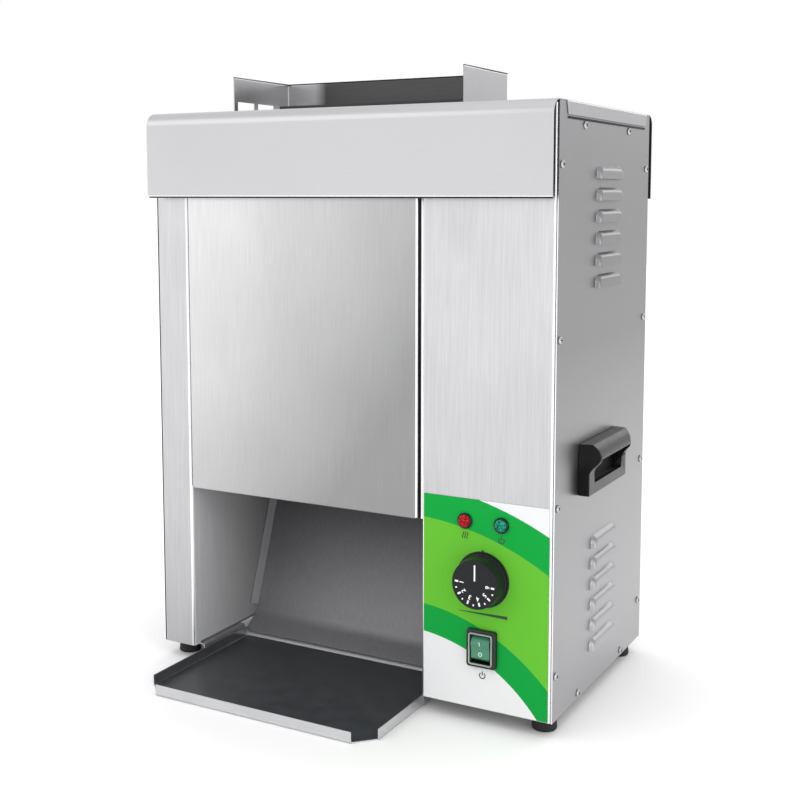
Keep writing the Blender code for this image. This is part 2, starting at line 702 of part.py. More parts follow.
def inner_walls():
    """The two walls of the toasting bay, each on a foot bent away from the bay."""
    hub = BUSH_HUB_RADIUS + GAP
    bush_holes = [circle(y, z, hub, SHAFT_SIDES) for y in (FRONT_AXIS_Y, REAR_AXIS_Y)
                  for z in (ROLLER_LOWER_Z, ROLLER_UPPER_Z)]
    lead = ELEMENT_DIAMETER / 2.0 + HOLE_CLEARANCE
    lead_holes = [circle(PLATEN_CENTRE_Y, z, lead, SHAFT_SIDES) for z in (ELEMENT_LOWEST, ELEMENT_HIGHEST)]
    low_z = PAN_TOP + BEND_RADIUS
    for name, x, out, holes in (("left_inner_wall", BAY_LEFT, -X_AXIS, bush_holes),
                                ("right_inner_wall", BAY_RIGHT, X_AXIS, bush_holes + lead_holes)):
        bm = bmesh.new()
        fill_outline(bm, [rectangle(PAN_FRONT, WALL_REAR, low_z, WALL_TOP), *holes], in_yz(0.0), -out)
        foot = edges_on(bm, lambda co: near(co.z, low_z))
        fold(bm, foot, -Z_AXIS, out, BEND_RADIUS, WALL_FOOT)
        agree_normals(bm, -out)
        thicken(piece(name, bm, (x, 0.0, 0.0), STEEL_INNER), SHEET)


def top_hood():
    """The hood: one sheet rolled down at the front and the back, with flanges over the side panels."""
    low_x = LEFT - GAP - SHEET + BEND_RADIUS
    high_x = RIGHT + GAP + SHEET - BEND_RADIUS
    front = HOOD_FRONT_ROLL - HOOD_FRONT_REACH
    rear = BODY_DEPTH + HOOD_REAR_REACH - HOOD_REAR_ROLL
    flange_front = HOOD_FLANGE_FRONT
    flange_rear = BODY_DEPTH - HOOD_FLANGE_REAR
    outline = [(low_x, front), (high_x, front), (high_x, flange_front), (high_x, flange_rear),
               (high_x, rear), (low_x, rear), (low_x, flange_rear), (low_x, flange_front)]
    clearance = HOOD_OPENING_CLEARANCE
    opening = rectangle(BAY_LEFT - SHEET - clearance, BAY_RIGHT + SHEET + clearance,
                        GUARD_FRONT - clearance, GUARD_FRONT + GUARD_LENGTH + clearance)
    bm = bmesh.new()
    fill_outline(bm, [outline, opening], in_xy(BODY_HEIGHT), Z_AXIS)
    fold(bm, edges_on(bm, lambda co: near(co.y, front)), -Y_AXIS, -Z_AXIS, HOOD_FRONT_ROLL,
         HOOD_FRONT_SKIRT, HOOD_ROLL_STEPS)
    fold(bm, edges_on(bm, lambda co: near(co.y, rear)), Y_AXIS, -Z_AXIS, HOOD_REAR_ROLL,
         HOOD_REAR_SKIRT, HOOD_ROLL_STEPS)
    for x, out in ((low_x, -X_AXIS), (high_x, X_AXIS)):
        side = edges_on(bm, lambda co: near(co.x, x) and flange_front - GAP < co.y < flange_rear + GAP)
        lowest = fold(bm, side, out, -Z_AXIS, BEND_RADIUS, HOOD_SIDE_FLANGE)
        for vert in {vert for edge in lowest for vert in edge.verts}:
            vert.co.y += HOOD_FLANGE_TAPER if near(vert.co.y, flange_front) else -HOOD_FLANGE_TAPER
    agree_normals(bm, Z_AXIS)
    thicken(piece("top_hood", bm, finish=STEEL_HOOD), SHEET)


def front_cover():
    """The cover over the front belt, hung by two ears on the front panels behind the hood's skirt."""
    left = BAY_LEFT + COVER_SIDE_GAP
    right = BAY_RIGHT - COVER_SIDE_GAP
    top = BODY_HEIGHT - COVER_TOP_DROP
    low_x = left + BEND_RADIUS
    high_x = right - BEND_RADIUS
    low_z = COVER_BOTTOM + BEND_RADIUS
    high_z = top - BEND_RADIUS
    bm = bmesh.new()
    fill_outline(bm, [rectangle(low_x, high_x, low_z, high_z)], in_xz(-COVER_PROUD), -Y_AXIS)
    face_plane = -COVER_PROUD
    for test, outward in ((lambda co: near(co.x, low_x), -X_AXIS), (lambda co: near(co.x, high_x), X_AXIS),
                          (lambda co: near(co.z, low_z), -Z_AXIS), (lambda co: near(co.z, high_z), Z_AXIS)):
        side = edges_on(bm, lambda co: test(co) and near(co.y, face_plane))
        fold(bm, side, outward, Y_AXIS, BEND_RADIUS, COVER_RETURN)
    agree_normals(bm, -Y_AXIS)
    cover = thicken(piece("front_cover", bm, finish=STEEL_BRUSHED), SHEET)
    ear_width = COVER_SIDE_GAP + COVER_EAR_REACH + SHEET / 2.0
    ear_z = high_z - COVER_EAR_HEIGHT / 2.0
    for side, edge, out in (("left", left, -1.0), ("right", right, 1.0)):
        middle = edge + out * (ear_width / 2.0 - SHEET / 2.0)
        ear = piece(f"ear_{side}", block(ear_width, SHEET, COVER_EAR_HEIGHT),
                    (middle, -GAP - SHEET / 2.0, ear_z))
        combine(cover, ear, "UNION")


def bun_guard():
    """The guard round the slots: two wings and a back, open at the front, lifted out for cleaning.

    Its wings pass through the hood's opening and stand on the inner walls. The left wing has windows
    down past the hood, and the back ends above the hood, on a narrow leg at each side.
    """
    low_x = BAY_LEFT - SHEET
    high_x = BAY_RIGHT + SHEET
    top = BODY_HEIGHT + GUARD_RISE
    bottom = BODY_HEIGHT - GUARD_SINK
    rear = GUARD_FRONT + GUARD_LENGTH
    window_low = BODY_HEIGHT - GUARD_WINDOW_SINK
    window_high = BODY_HEIGHT + GUARD_WINDOW_TOP
    windows = []
    start = GUARD_FRONT + GUARD_FRONT_POST
    for _ in range(2):
        windows.append(rectangle(start, start + GUARD_WINDOW_LENGTH, window_low, window_high))
        start += GUARD_WINDOW_LENGTH + GUARD_MIDDLE_POST
    lift = BODY_HEIGHT + GUARD_REAR_LIFT
    back = [(low_x, bottom), (low_x + GUARD_REAR_LEG, bottom), (low_x + GUARD_REAR_LEG, lift),
            (high_x - GUARD_REAR_LEG, lift), (high_x - GUARD_REAR_LEG, bottom), (high_x, bottom),
            (high_x, top), (low_x, top)]
    wing = rectangle(GUARD_FRONT, rear, bottom, top)
    bm = bmesh.new()
    fill_outline(bm, [wing, *windows], in_yz(low_x), -X_AXIS)
    fill_outline(bm, [wing], in_yz(high_x), X_AXIS)
    fill_outline(bm, [back], in_xz(rear), Y_AXIS)
    bmesh.ops.remove_doubles(bm, verts=bm.verts, dist=GAP / 10.0)
    agree_normals(bm, Y_AXIS)
    thicken(piece("bun_guard", bm, finish=STEEL_HOOD), SHEET)


def chute_y(height):
    """Gives the chute's depth at a height, along its straight slope."""
    return CHUTE_MARK_Y + (height - CHUTE_MARK_Z) / math.tan(CHUTE_SLOPE)


def bun_chute():
    """The steep chute behind and under the platen, with side flanges along the inner walls."""
    low_x = BAY_LEFT + GAP
    high_x = BAY_RIGHT - GAP
    bend_y = chute_y(CHUTE_BEND_Z)
    path = rounded([(chute_y(CHUTE_TOP_Z), CHUTE_TOP_Z), (bend_y, CHUTE_BEND_Z),
                    (bend_y - CHUTE_TOE_REACH, CHUTE_TOE_Z)], CHUTE_BEND_RADIUS, CHUTE_BEND_STEPS)
    bm = strip(path, in_yz(low_x), X_AXIS, high_x - low_x)
    slope_end = path[1].y
    forward = Vector((0.0, -math.sin(CHUTE_SLOPE), math.cos(CHUTE_SLOPE)))
    for x in (low_x, high_x):
        side = edges_on(bm, lambda co: near(co.x, x) and co.z > slope_end - GAP)
        grown = bmesh.ops.extrude_edge_only(bm, edges=side)
        moved = [item for item in grown["geom"] if isinstance(item, bmesh.types.BMVert)]
        bmesh.ops.translate(bm, verts=moved, vec=forward * CHUTE_FLANGE)
    agree_normals(bm, Y_AXIS)
    thicken(piece("bun_chute", bm, finish=STEEL_INNER), SHEET)


def landing_tray():
    """The tray that the buns land on, with lips at the front and the sides and open front corners."""
    low_x = -TRAY_WIDTH / 2.0 + BEND_RADIUS
    high_x = TRAY_WIDTH / 2.0 - BEND_RADIUS
    front = -TRAY_FRONT_REACH + BEND_RADIUS
    outline = [(low_x, TRAY_REAR), (low_x, front + TRAY_CORNER), (low_x + TRAY_CORNER, front),
               (high_x - TRAY_CORNER, front), (high_x, front + TRAY_CORNER), (high_x, TRAY_REAR)]
    bm = bmesh.new()
    fill_outline(bm, [outline], in_xy(0.0), -Z_AXIS)
    for test, outward in ((lambda co: near(co.x, low_x), -X_AXIS), (lambda co: near(co.x, high_x), X_AXIS),
                          (lambda co: near(co.y, front), -Y_AXIS)):
        side = edges_on(bm, lambda co: test(co) and near(co.z, 0.0))
        fold(bm, side, outward, Z_AXIS, BEND_RADIUS, TRAY_LIP)
    agree_normals(bm, -Z_AXIS)
    thicken(piece("landing_tray", bm, (BAY_CENTRE, 0.0, -FOOT_HEIGHT), STEEL_TRAY), SHEET)


def tray_guides():
    """The two rails under the base pan that the tray slides between."""
    top = -GAP
    foot = -FOOT_HEIGHT + GUIDE_FLOOR_CLEARANCE
    for name, side in (("tray_guide_left", -1.0), ("tray_guide_right", 1.0)):
        path = rounded([(side * (GUIDE_X + GUIDE_FLANGE), top), (side * GUIDE_X, top),
                        (side * GUIDE_X, foot)], BEND_RADIUS)
        bm = strip(path, in_xz(PAN_FRONT), Y_AXIS, GUIDE_LENGTH)
        agree_normals(bm, Z_AXIS)
        thicken(piece(name, bm, (BAY_CENTRE, 0.0, 0.0), STEEL_INNER), SHEET)


def handle_sweep():
    """The curve of a cheek's edge from the face out to the lip."""
    low = HANDLE_LIP_HEIGHT - HANDLE_LIP_EDGE - HANDLE_SWEEP_HEIGHT
    points = []
    for index in range(HANDLE_SWEEP_STEPS + 1):
        share = index / HANDLE_SWEEP_STEPS
        reach = HANDLE_FACE_REACH + (HANDLE_LIP_REACH - HANDLE_FACE_REACH) * (
            0.5 - 0.5 * math.cos(math.pi * share))
        points.append((reach, low + HANDLE_SWEEP_HEIGHT * share))
    return points


def handles():
    """The moulded grips: a cheeked block with a lip that overhangs a finger pocket."""
    outline = [(0.0, 0.0), (HANDLE_FACE_REACH, 0.0), *handle_sweep(),
               (HANDLE_LIP_REACH, HANDLE_LIP_HEIGHT), (HANDLE_RIDGE_REACH, HANDLE_HEIGHT),
               (0.0, HANDLE_HEIGHT)]
    overrun = HANDLE_LIP_REACH + CUT_OVERRUN
    roof = HANDLE_HEIGHT - HANDLE_SHELL
    pocket = [(HANDLE_BACK, HANDLE_SILL), (overrun, HANDLE_SILL),
              (overrun, HANDLE_LIP_HEIGHT - HANDLE_LIP_EDGE),
              (HANDLE_LIP_REACH - HANDLE_SHELL, HANDLE_LIP_HEIGHT - HANDLE_LIP_EDGE),
              (HANDLE_RIDGE_REACH - HANDLE_SHELL, roof), (HANDLE_BACK, roof)]
    for name, side, x in (("left_handle", -1.0, LEFT - GAP), ("right_handle", 1.0, RIGHT + GAP)):
        place = (x, HANDLE_FRONT, HANDLE_BOTTOM)
        points = [(side * reach, height) for reach, height in outline]
        grip = piece(name, slab([points], in_xz(0.0), -Y_AXIS, HANDLE_LENGTH), place, HANDLE_PLASTIC)
        edge = grip.modifiers.new("Edge", "BEVEL")
        edge.width = HANDLE_BEVEL
        edge.segments = 2
        edge.limit_method = "ANGLE"
        edge.angle_limit = HANDLE_EDGE_ANGLE
        points = [(side * reach, height) for reach, height in pocket]
        hollow = slab([points], in_xz(HANDLE_CHEEK), -Y_AXIS, HANDLE_LENGTH - 2.0 * HANDLE_CHEEK)
        combine(grip, piece(f"pocket_{name}", hollow, place), "DIFFERENCE")


def platen():
    """The hot platen: two plates with the element between them, a wedge cap and a release sheet."""
    height = PLATEN_TOP - PLATEN_BOTTOM
    middle = (PLATEN_TOP + PLATEN_BOTTOM) / 2.0
    offset = (PLATEN_GAP + PLATEN_PLATE) / 2.0
    for name, y in (("platen_front", PLATEN_CENTRE_Y - offset), ("platen_rear", PLATEN_CENTRE_Y + offset)):
        plate = block(PLATEN_WIDTH, PLATEN_PLATE, height, PLATEN_PLATE_BEVEL, 1)
        piece(name, plate, (BAY_CENTRE, y, middle), ALUMINIUM)
    half = PLATEN_DEPTH / 2.0
    ridge = CAP_RIDGE / 2.0
    cap_bottom = PLATEN_TOP + GAP
    outline = [(-half, cap_bottom), (-half, cap_bottom + CAP_SHOULDER), (-ridge, cap_bottom + CAP_HEIGHT),
               (ridge, cap_bottom + CAP_HEIGHT), (half, cap_bottom + CAP_SHOULDER), (half, cap_bottom)]
    place = (BAY_CENTRE - PLATEN_WIDTH / 2.0, PLATEN_CENTRE_Y, 0.0)
    piece("platen_cap", slab([outline], in_yz(0.0), -X_AXIS, PLATEN_WIDTH), place, ALUMINIUM)
    release_sheet(outline, half)


def release_sheet(cap_outline, half):
    """The non-stick sheet that hangs over the cap and down both faces of the platen."""
    line = [(-half, PLATEN_BOTTOM), *cap_outline[1:-1], (half, PLATEN_BOTTOM)]
    draped = offset_path(line, GAP)
    bm = strip(draped, in_yz(0.0), X_AXIS, PLATEN_WIDTH - 2.0 * RELEASE_INSET)
    agree_normals(bm, Z_AXIS)
    place = (BAY_CENTRE - PLATEN_WIDTH / 2.0 + RELEASE_INSET, PLATEN_CENTRE_Y, 0.0)
    thicken(piece("release_sheet", bm, place, RELEASE_FILM), RELEASE_SHEET, 1.0)


def offset_path(points, distance):
    """Moves an open path sideways to its left by one distance, with mitred corners."""
    points = [Vector(point) for point in points]
    sides = []
    for here, after in zip(points, points[1:]):
        along = (after - here).normalized()
        sides.append(Vector((-along.y, along.x)))
    moved = [points[0] + sides[0] * distance]
    for corner, before, after in zip(points[1:], sides, sides[1:]):
        mitre = (before + after).normalized()
        moved.append(corner + mitre * (distance / mitre.dot(after)))
    moved.append(points[-1] + sides[-1] * distance)
    return moved


def platen_brackets():
    """The channels that hold the platen off the inner walls, between the element's two leads."""
    low = ELEMENT_LOWEST + BRACKET_END_CLEARANCE
    high = ELEMENT_HIGHEST - BRACKET_END_CLEARANCE
    platen_half = PLATEN_WIDTH / 2.0 + GAP
    for name, side in (("platen_bracket_left", -1.0), ("platen_bracket_right", 1.0)):
        wall = side * (BAY_WIDTH / 2.0 - GAP)
        edge = side * platen_half
        web = -PLATEN_DEPTH / 2.0
        path = rounded([(wall, web + BRACKET_FLANGE + BRACKET_THICKNESS), (wall, web),
                        (edge, web), (edge, web + PLATEN_DEPTH)], BRACKET_THICKNESS * 1.25)
        bm = strip(path, in_xy(low), Z_AXIS, high - low)
        agree_normals(bm, -Y_AXIS)
        place = (BAY_CENTRE, PLATEN_CENTRE_Y, 0.0)
        thicken(piece(name, bm, place, STEEL_INNER), BRACKET_THICKNESS)


def element_path():
    """The element's centre line: passes across the platen joined by half circles."""
    bend = ELEMENT_PITCH / 2.0
    reach = PLATEN_WIDTH / 2.0 - ELEMENT_SIDE_MARGIN - bend
    end = BAY_WIDTH / 2.0 + SHEET + ELEMENT_LEAD
    points = [(end, 0.0)]
    for index in range(ELEMENT_PASSES):
        side = -1.0 if index % 2 == 0 else 1.0
        height = ELEMENT_PITCH * index
        if index == ELEMENT_PASSES - 1:
            points.append((end, height))
            break
        for step in range(ELEMENT_BEND_STEPS + 1):
            angle = math.pi * step / ELEMENT_BEND_STEPS
            points.append((side * (reach + bend * math.sin(angle)), height + bend - bend * math.cos(angle)))
    return points


def heating_element():
    """The tubular element in the gap between the platen's plates, its leads through the right wall."""
    curve = bpy.data.curves.new("heating_element", "CURVE")
    curve.dimensions = "3D"
    curve.bevel_depth = ELEMENT_DIAMETER / 2.0
    curve.bevel_resolution = 1
    curve.use_fill_caps = True
    line = curve.splines.new("POLY")
    points = element_path()
    line.points.add(len(points) - 1)
    for point, (x, z) in zip(line.points, points):
        point.co = (x, 0.0, z, 1.0)
    add_object("heating_element", curve, (BAY_CENTRE, PLATEN_CENTRE_Y, ELEMENT_LOWEST), ELEMENT_STEEL)


def roller(name, y, z, right_end):
    """A belt roller turned in one piece with its shaft, its origin on its axis."""
    drum = PLATEN_WIDTH / 2.0 + ROLLER_SIDE_REACH
    left_end = -BAY_WIDTH / 2.0 - SHEET - BUSH_FLANGE - SHAFT_TAIL
    edge = ROLLER_RADIUS - ROLLER_EDGE
    profile = [(0.0, left_end), (SHAFT_RADIUS, left_end), (SHAFT_RADIUS, -drum), (edge, -drum),
               (ROLLER_RADIUS, -drum + ROLLER_EDGE), (ROLLER_RADIUS, drum - ROLLER_EDGE), (edge, drum),
               (SHAFT_RADIUS, drum), (SHAFT_RADIUS, right_end), (0.0, right_end)]
    bm = turned(profile, ROLLER_SIDES, to_axis=TO_X)
    piece(name, bm, (BAY_CENTRE, y, z), ROLLER_STEEL, smooth=True)


def rollers():
    """Four rollers: the lower two carry the drive gears on longer shafts."""
    short = BAY_WIDTH / 2.0 + SHEET + BUSH_FLANGE + SHAFT_TAIL - GEAR_WALL_GAP / 2.0
    long = GEAR_RIGHT - BAY_CENTRE + BRACKET_GEAR_GAP / 2.0
    for end, y in (("front", FRONT_AXIS_Y), ("rear", REAR_AXIS_Y)):
        roller(f"{end}_lower_roller", y, ROLLER_LOWER_Z, long)
        roller(f"{end}_upper_roller", y, ROLLER_UPPER_Z, short)


def belt_line():
    """The belt's middle line from the side: the two ends of each slat, then of each gap, in turn."""
    span = ROLLER_UPPER_Z - ROLLER_LOWER_Z
    pitches = max(1, round(span / (BELT_STEP * BELT_RADIUS)))
    pitch = span / pitches
    line = []
    for index in range(pitches):
        for share in (0.0, SLAT_SHARE):
            line.append((BELT_RADIUS, pitch * (index + share)))
    for index in range(BELT_ARC_PITCHES):
        for share in (0.0, SLAT_SHARE):
            angle = BELT_STEP * (index + share)
            line.append((BELT_RADIUS * math.cos(angle), span + BELT_RADIUS * math.sin(angle)))
    return line + [(-y, span - z) for y, z in line]


def conveyor_belt(name, y):
    """A slatted belt: cross slats between two side strips, as one loop round its rollers."""
    half = PLATEN_WIDTH / 2.0
    columns = (-half, -half + BELT_STRIP_WIDTH, half - BELT_STRIP_WIDTH, half)
    bm = bmesh.new()
    rings = [[bm.verts.new((x, across, height)) for x in columns] for across, height in belt_line()]
    for index, ring in enumerate(rings):
        after = rings[(index + 1) % len(rings)]
        for column in range(len(columns) - 1):
            if index % 2 == 0 or column != 1:
                bm.faces.new((ring[column], ring[column + 1], after[column + 1], after[column]))
    bmesh.ops.recalc_face_normals(bm, faces=bm.faces)
    thicken(piece(name, bm, (BAY_CENTRE, y, ROLLER_LOWER_Z), BELT_STEEL), BELT_THICKNESS, 0.0)


def bushes():
    """Eight flanged bushes in the inner walls, one at each end of each roller."""
    bore = bore_radius(SHAFT_RADIUS, SHAFT_SIDES)
    seat = SHEET + GAP
    profile = [(bore, -BUSH_NOSE), (BUSH_HUB_RADIUS, -BUSH_NOSE), (BUSH_HUB_RADIUS, seat),
               (BUSH_FLANGE_RADIUS, seat), (BUSH_FLANGE_RADIUS, seat + BUSH_FLANGE),
               (bore, seat + BUSH_FLANGE)]
    for end, y in (("front", FRONT_AXIS_Y), ("rear", REAR_AXIS_Y)):
        for level, z in (("lower", ROLLER_LOWER_Z), ("upper", ROLLER_UPPER_Z)):
            for side, x, turn in (("left", BAY_LEFT, -1.0), ("right", BAY_RIGHT, 1.0)):
                lay = Matrix.Rotation(turn * math.pi / 2.0, 4, "Y")
                bm = turned(profile, SHAFT_SIDES, ring=True, to_axis=lay)
                piece(f"{end}_{level}_bush_{side}", bm, (x, y, z), BRONZE, smooth=True)


def involute(angle):
    """The involute function of a pressure angle."""
    return math.tan(angle) - angle


def gear_outline(teeth, start):
    """A gear's outline, with a tooth centred on the start angle, counted from +Y towards +Z."""
    pitch = GEAR_MODULE * teeth / 2.0
    base = pitch * math.cos(PRESSURE_ANGLE)
    tip = pitch + GEAR_MODULE * ADDENDUM_SHARE
    root = pitch - GEAR_MODULE * DEDENDUM_SHARE
    half_tooth = math.pi / (2.0 * teeth) - BACKLASH / (4.0 * pitch)
    flank = []
    for share in FLANK_SHARES:
        radius = root + (tip - root) * share
        lean = math.acos(min(1.0, base / radius))
        flank.append((radius, half_tooth + involute(PRESSURE_ANGLE) - involute(lean)))
    points = []
    for index in range(teeth):
        middle = start + 2.0 * math.pi * index / teeth
        for radius, half in flank:
            points.append((radius * math.cos(middle - half), radius * math.sin(middle - half)))
        for radius, half in reversed(flank):
            points.append((radius * math.cos(middle + half), radius * math.sin(middle + half)))
    return points


def gear(name, teeth, place, start, bore, shaft=None):
    """A spur gear with its origin on its axis, with a bore, or with its own shaft."""
    holes = [] if bore is None else [circle(0.0, 0.0, bore, SHAFT_SIDES)]
    bm = slab([gear_outline(teeth, start), *holes], in_yz(0.0), -X_AXIS, GEAR_WIDTH)
    made = piece(name, bm, (GEAR_LEFT, *place), GEAR_STEEL)
    if shaft is not None:
        tool = turned([(0.0, GEAR_WIDTH / 2.0), (MOTOR_SHAFT_RADIUS, GEAR_WIDTH / 2.0),
                       (MOTOR_SHAFT_RADIUS, shaft), (0.0, shaft)], SHAFT_SIDES, to_axis=TO_X)
        combine(made, piece(f"shaft_{name}", tool, (GEAR_LEFT, *place)), "UNION")


def gear_places():
    """The pinion's and the idler's places: the idler hangs in mesh with the pinion and the rear gear."""
    pinion_y = FRONT_AXIS_Y + DRIVE_RADIUS + PINION_RADIUS
    span = REAR_AXIS_Y - pinion_y
    reach = PINION_RADIUS + IDLER_RADIUS
    far_reach = IDLER_RADIUS + DRIVE_RADIUS
    along = (span ** 2 + reach ** 2 - far_reach ** 2) / (2.0 * span)
    drop = math.sqrt(reach ** 2 - along ** 2)
    return (pinion_y, ROLLER_LOWER_Z), (pinion_y + along, ROLLER_LOWER_Z - drop)


def gear_train():
    """Pinion, idler and the two drive gears, each turned so that its teeth sit in its neighbour's gaps."""
    front = (FRONT_AXIS_Y, ROLLER_LOWER_Z)
    rear = (REAR_AXIS_Y, ROLLER_LOWER_Z)
    pinion, idler = gear_places()
    bore = SHAFT_RADIUS + GAP
    shaft = MOTOR_PLATE_X - GEAR_LEFT + BRACKET_THICKNESS + GAP + MOTOR_SHAFT_DEPTH
    chain = (("motor_pinion", PINION_TEETH, front, pinion, None, shaft),
             ("idler_gear", IDLER_TEETH, pinion, idler, bore_radius(IDLER_STUD_RADIUS, SHAFT_SIDES), None),
             ("rear_drive_gear", DRIVE_TEETH, idler, rear, bore, None))
    start = 0.0
    teeth_before = DRIVE_TEETH
    gear("front_drive_gear", DRIVE_TEETH, front, start, bore)
    for name, teeth, before, place, hole, stem in chain:
        toward = math.atan2(place[1] - before[1], place[0] - before[0])
        ahead = (start - toward) % (2.0 * math.pi / teeth_before)
        start = toward + math.pi + math.pi / teeth - ahead * teeth_before / teeth
        gear(name, teeth, place, start, hole, stem)
        teeth_before = teeth


def motor_bracket():
    """The bracket over the gears: a plate on two legs, with the idler's stud riveted to it."""
    (pinion_y, _), (idler_y, idler_z) = gear_places()
    low_y = pinion_y - MOTOR_BRACKET_MARGIN
    high_y = idler_y + MOTOR_BRACKET_MARGIN
    low_z = idler_z - IDLER_RADIUS - GEAR_MODULE - MOTOR_BRACKET_LEG_GAP + BEND_RADIUS
    high_z = ROLLER_LOWER_Z + PINION_RADIUS + GEAR_MODULE + MOTOR_BRACKET_LEG_GAP + MOTOR_BRACKET_MARGIN
    leg = MOTOR_PLATE_X - BAY_RIGHT - SHEET - GAP
    hole = circle(pinion_y, ROLLER_LOWER_Z, MOTOR_SHAFT_RADIUS + MOTOR_HOLE_CLEARANCE, SHAFT_SIDES)
    bm = bmesh.new()
    fill_outline(bm, [rectangle(low_y, high_y, low_z, high_z), hole], in_yz(BRACKET_THICKNESS), X_AXIS)
    for z, away in ((low_z, -Z_AXIS), (high_z, Z_AXIS)):
        side = edges_on(bm, lambda co: near(co.z, z))
        end = fold(bm, side, away, -X_AXIS, BEND_RADIUS, leg - BEND_RADIUS)
        fold(bm, end, -X_AXIS, away, BEND_RADIUS, MOTOR_BRACKET_FOOT)
    agree_normals(bm, X_AXIS)
    bracket = thicken(piece("motor_bracket", bm, (MOTOR_PLATE_X, 0.0, 0.0), STEEL_INNER), BRACKET_THICKNESS)
    stud_end = GEAR_LEFT - MOTOR_PLATE_X - IDLER_STUD_TAIL
    stud = turned([(0.0, stud_end), (IDLER_STUD_RADIUS, stud_end),
                   (IDLER_STUD_RADIUS, BRACKET_THICKNESS / 2.0), (0.0, BRACKET_THICKNESS / 2.0)],
                  SHAFT_SIDES, to_axis=TO_X)
    combine(bracket, piece("stud_idler", stud, (MOTOR_PLATE_X, idler_y, idler_z)), "UNION")


def gear_motor():
    """The gear motor on the bracket: a gearbox with the motor can behind it and a bore for the shaft."""
    (pinion_y, _), _ = gear_places()
    face = MOTOR_PLATE_X + BRACKET_THICKNESS + GAP
    place = (face, pinion_y, ROLLER_LOWER_Z)
    box = block(GEARBOX_DEPTH, GEARBOX_WIDTH, GEARBOX_WIDTH, GEARBOX_BEVEL, 2)
    bmesh.ops.translate(box, verts=box.verts, vec=(GEARBOX_DEPTH / 2.0, 0.0, 0.0))
    motor = piece("gear_motor", box, place, MOTOR_PAINT)
    end = GEARBOX_DEPTH + MOTOR_CAN_LENGTH
    can = turned([(0.0, GEARBOX_DEPTH / 2.0), (MOTOR_CAN_RADIUS, GEARBOX_DEPTH / 2.0),
                  (MOTOR_CAN_RADIUS, end - MOTOR_CAN_EDGE), (MOTOR_CAN_RADIUS - MOTOR_CAN_EDGE, end),
                  (0.0, end)], MOTOR_SIDES, to_axis=TO_X)
    combine(motor, piece("can_motor", can, place), "UNION")
    bore = bore_radius(MOTOR_SHAFT_RADIUS, SHAFT_SIDES)
    depth = MOTOR_SHAFT_DEPTH + CUT_OVERRUN
    drill = turned([(0.0, -CUT_OVERRUN), (bore, -CUT_OVERRUN), (bore, depth), (0.0, depth)], SHAFT_SIDES,
                   to_axis=TO_X)
    combine(motor, piece("drill_motor", drill, place), "DIFFERENCE")


def ring_stack(sections, sides):
    """Joins rings of equal count, each given as a list of points, into one closed body."""
    bm = bmesh.new()
    rings = [[bm.verts.new(point) for point in ring] for ring in sections]
    for lower, upper in zip(rings, rings[1:] + rings[:1]):
        for index in range(sides):
            after = (index + 1) % sides
            bm.faces.new((lower[index], lower[after], upper[after], upper[index]))
    bmesh.ops.recalc_face_normals(bm, faces=bm.faces)
    return bm


def knob():
    """The fixed ring with its pointer, and the dial in one piece with its spindle."""
    place = (CONTROL_X, FASCIA_FACE - GAP, KNOB_Z)
    hole = THERMOSTAT_NECK_RADIUS + HOLE_CLEARANCE
    profile = [(hole, 0.0), (BEZEL_RADIUS, 0.0), (BEZEL_RADIUS, BEZEL_THICKNESS - BEZEL_EDGE),
               (BEZEL_RADIUS - BEZEL_EDGE, BEZEL_THICKNESS), (hole, BEZEL_THICKNESS)]
    ring = piece("knob_bezel", turned(profile, BEZEL_SIDES, ring=True, to_axis=TO_FRONT), place,
                 KNOB_PLASTIC, smooth=True)
    half = BEZEL_POINTER_WIDTH / 2.0
    nub = [(-half, BEZEL_RADIUS - BEZEL_POINTER), (half, BEZEL_RADIUS - BEZEL_POINTER),
           (0.0, BEZEL_RADIUS + BEZEL_POINTER)]
    pointer = slab([nub], in_xz(-BEZEL_THICKNESS + BEZEL_EDGE), -Y_AXIS, BEZEL_THICKNESS - 2.0 * BEZEL_EDGE)
    combine(ring, piece("pointer_knob", pointer, place), "UNION")

    place = (CONTROL_X, FASCIA_FACE - GAP - BEZEL_THICKNESS - GAP, KNOB_Z)
    profile = [(0.0, -SPINDLE_DEPTH), (SPINDLE_RADIUS, -SPINDLE_DEPTH), (SPINDLE_RADIUS, 0.0),
               (DIAL_BASE_RADIUS, 0.0), (DIAL_BASE_RADIUS, DIAL_EDGE),
               (DIAL_FACE_RADIUS, DIAL_HEIGHT - DIAL_EDGE), (DIAL_FACE_RADIUS - DIAL_EDGE, DIAL_HEIGHT),
               (0.0, DIAL_HEIGHT)]
    piece("temperature_dial", turned(profile, DIAL_SIDES, to_axis=TO_FRONT), place, KNOB_PLASTIC,
          smooth=True)


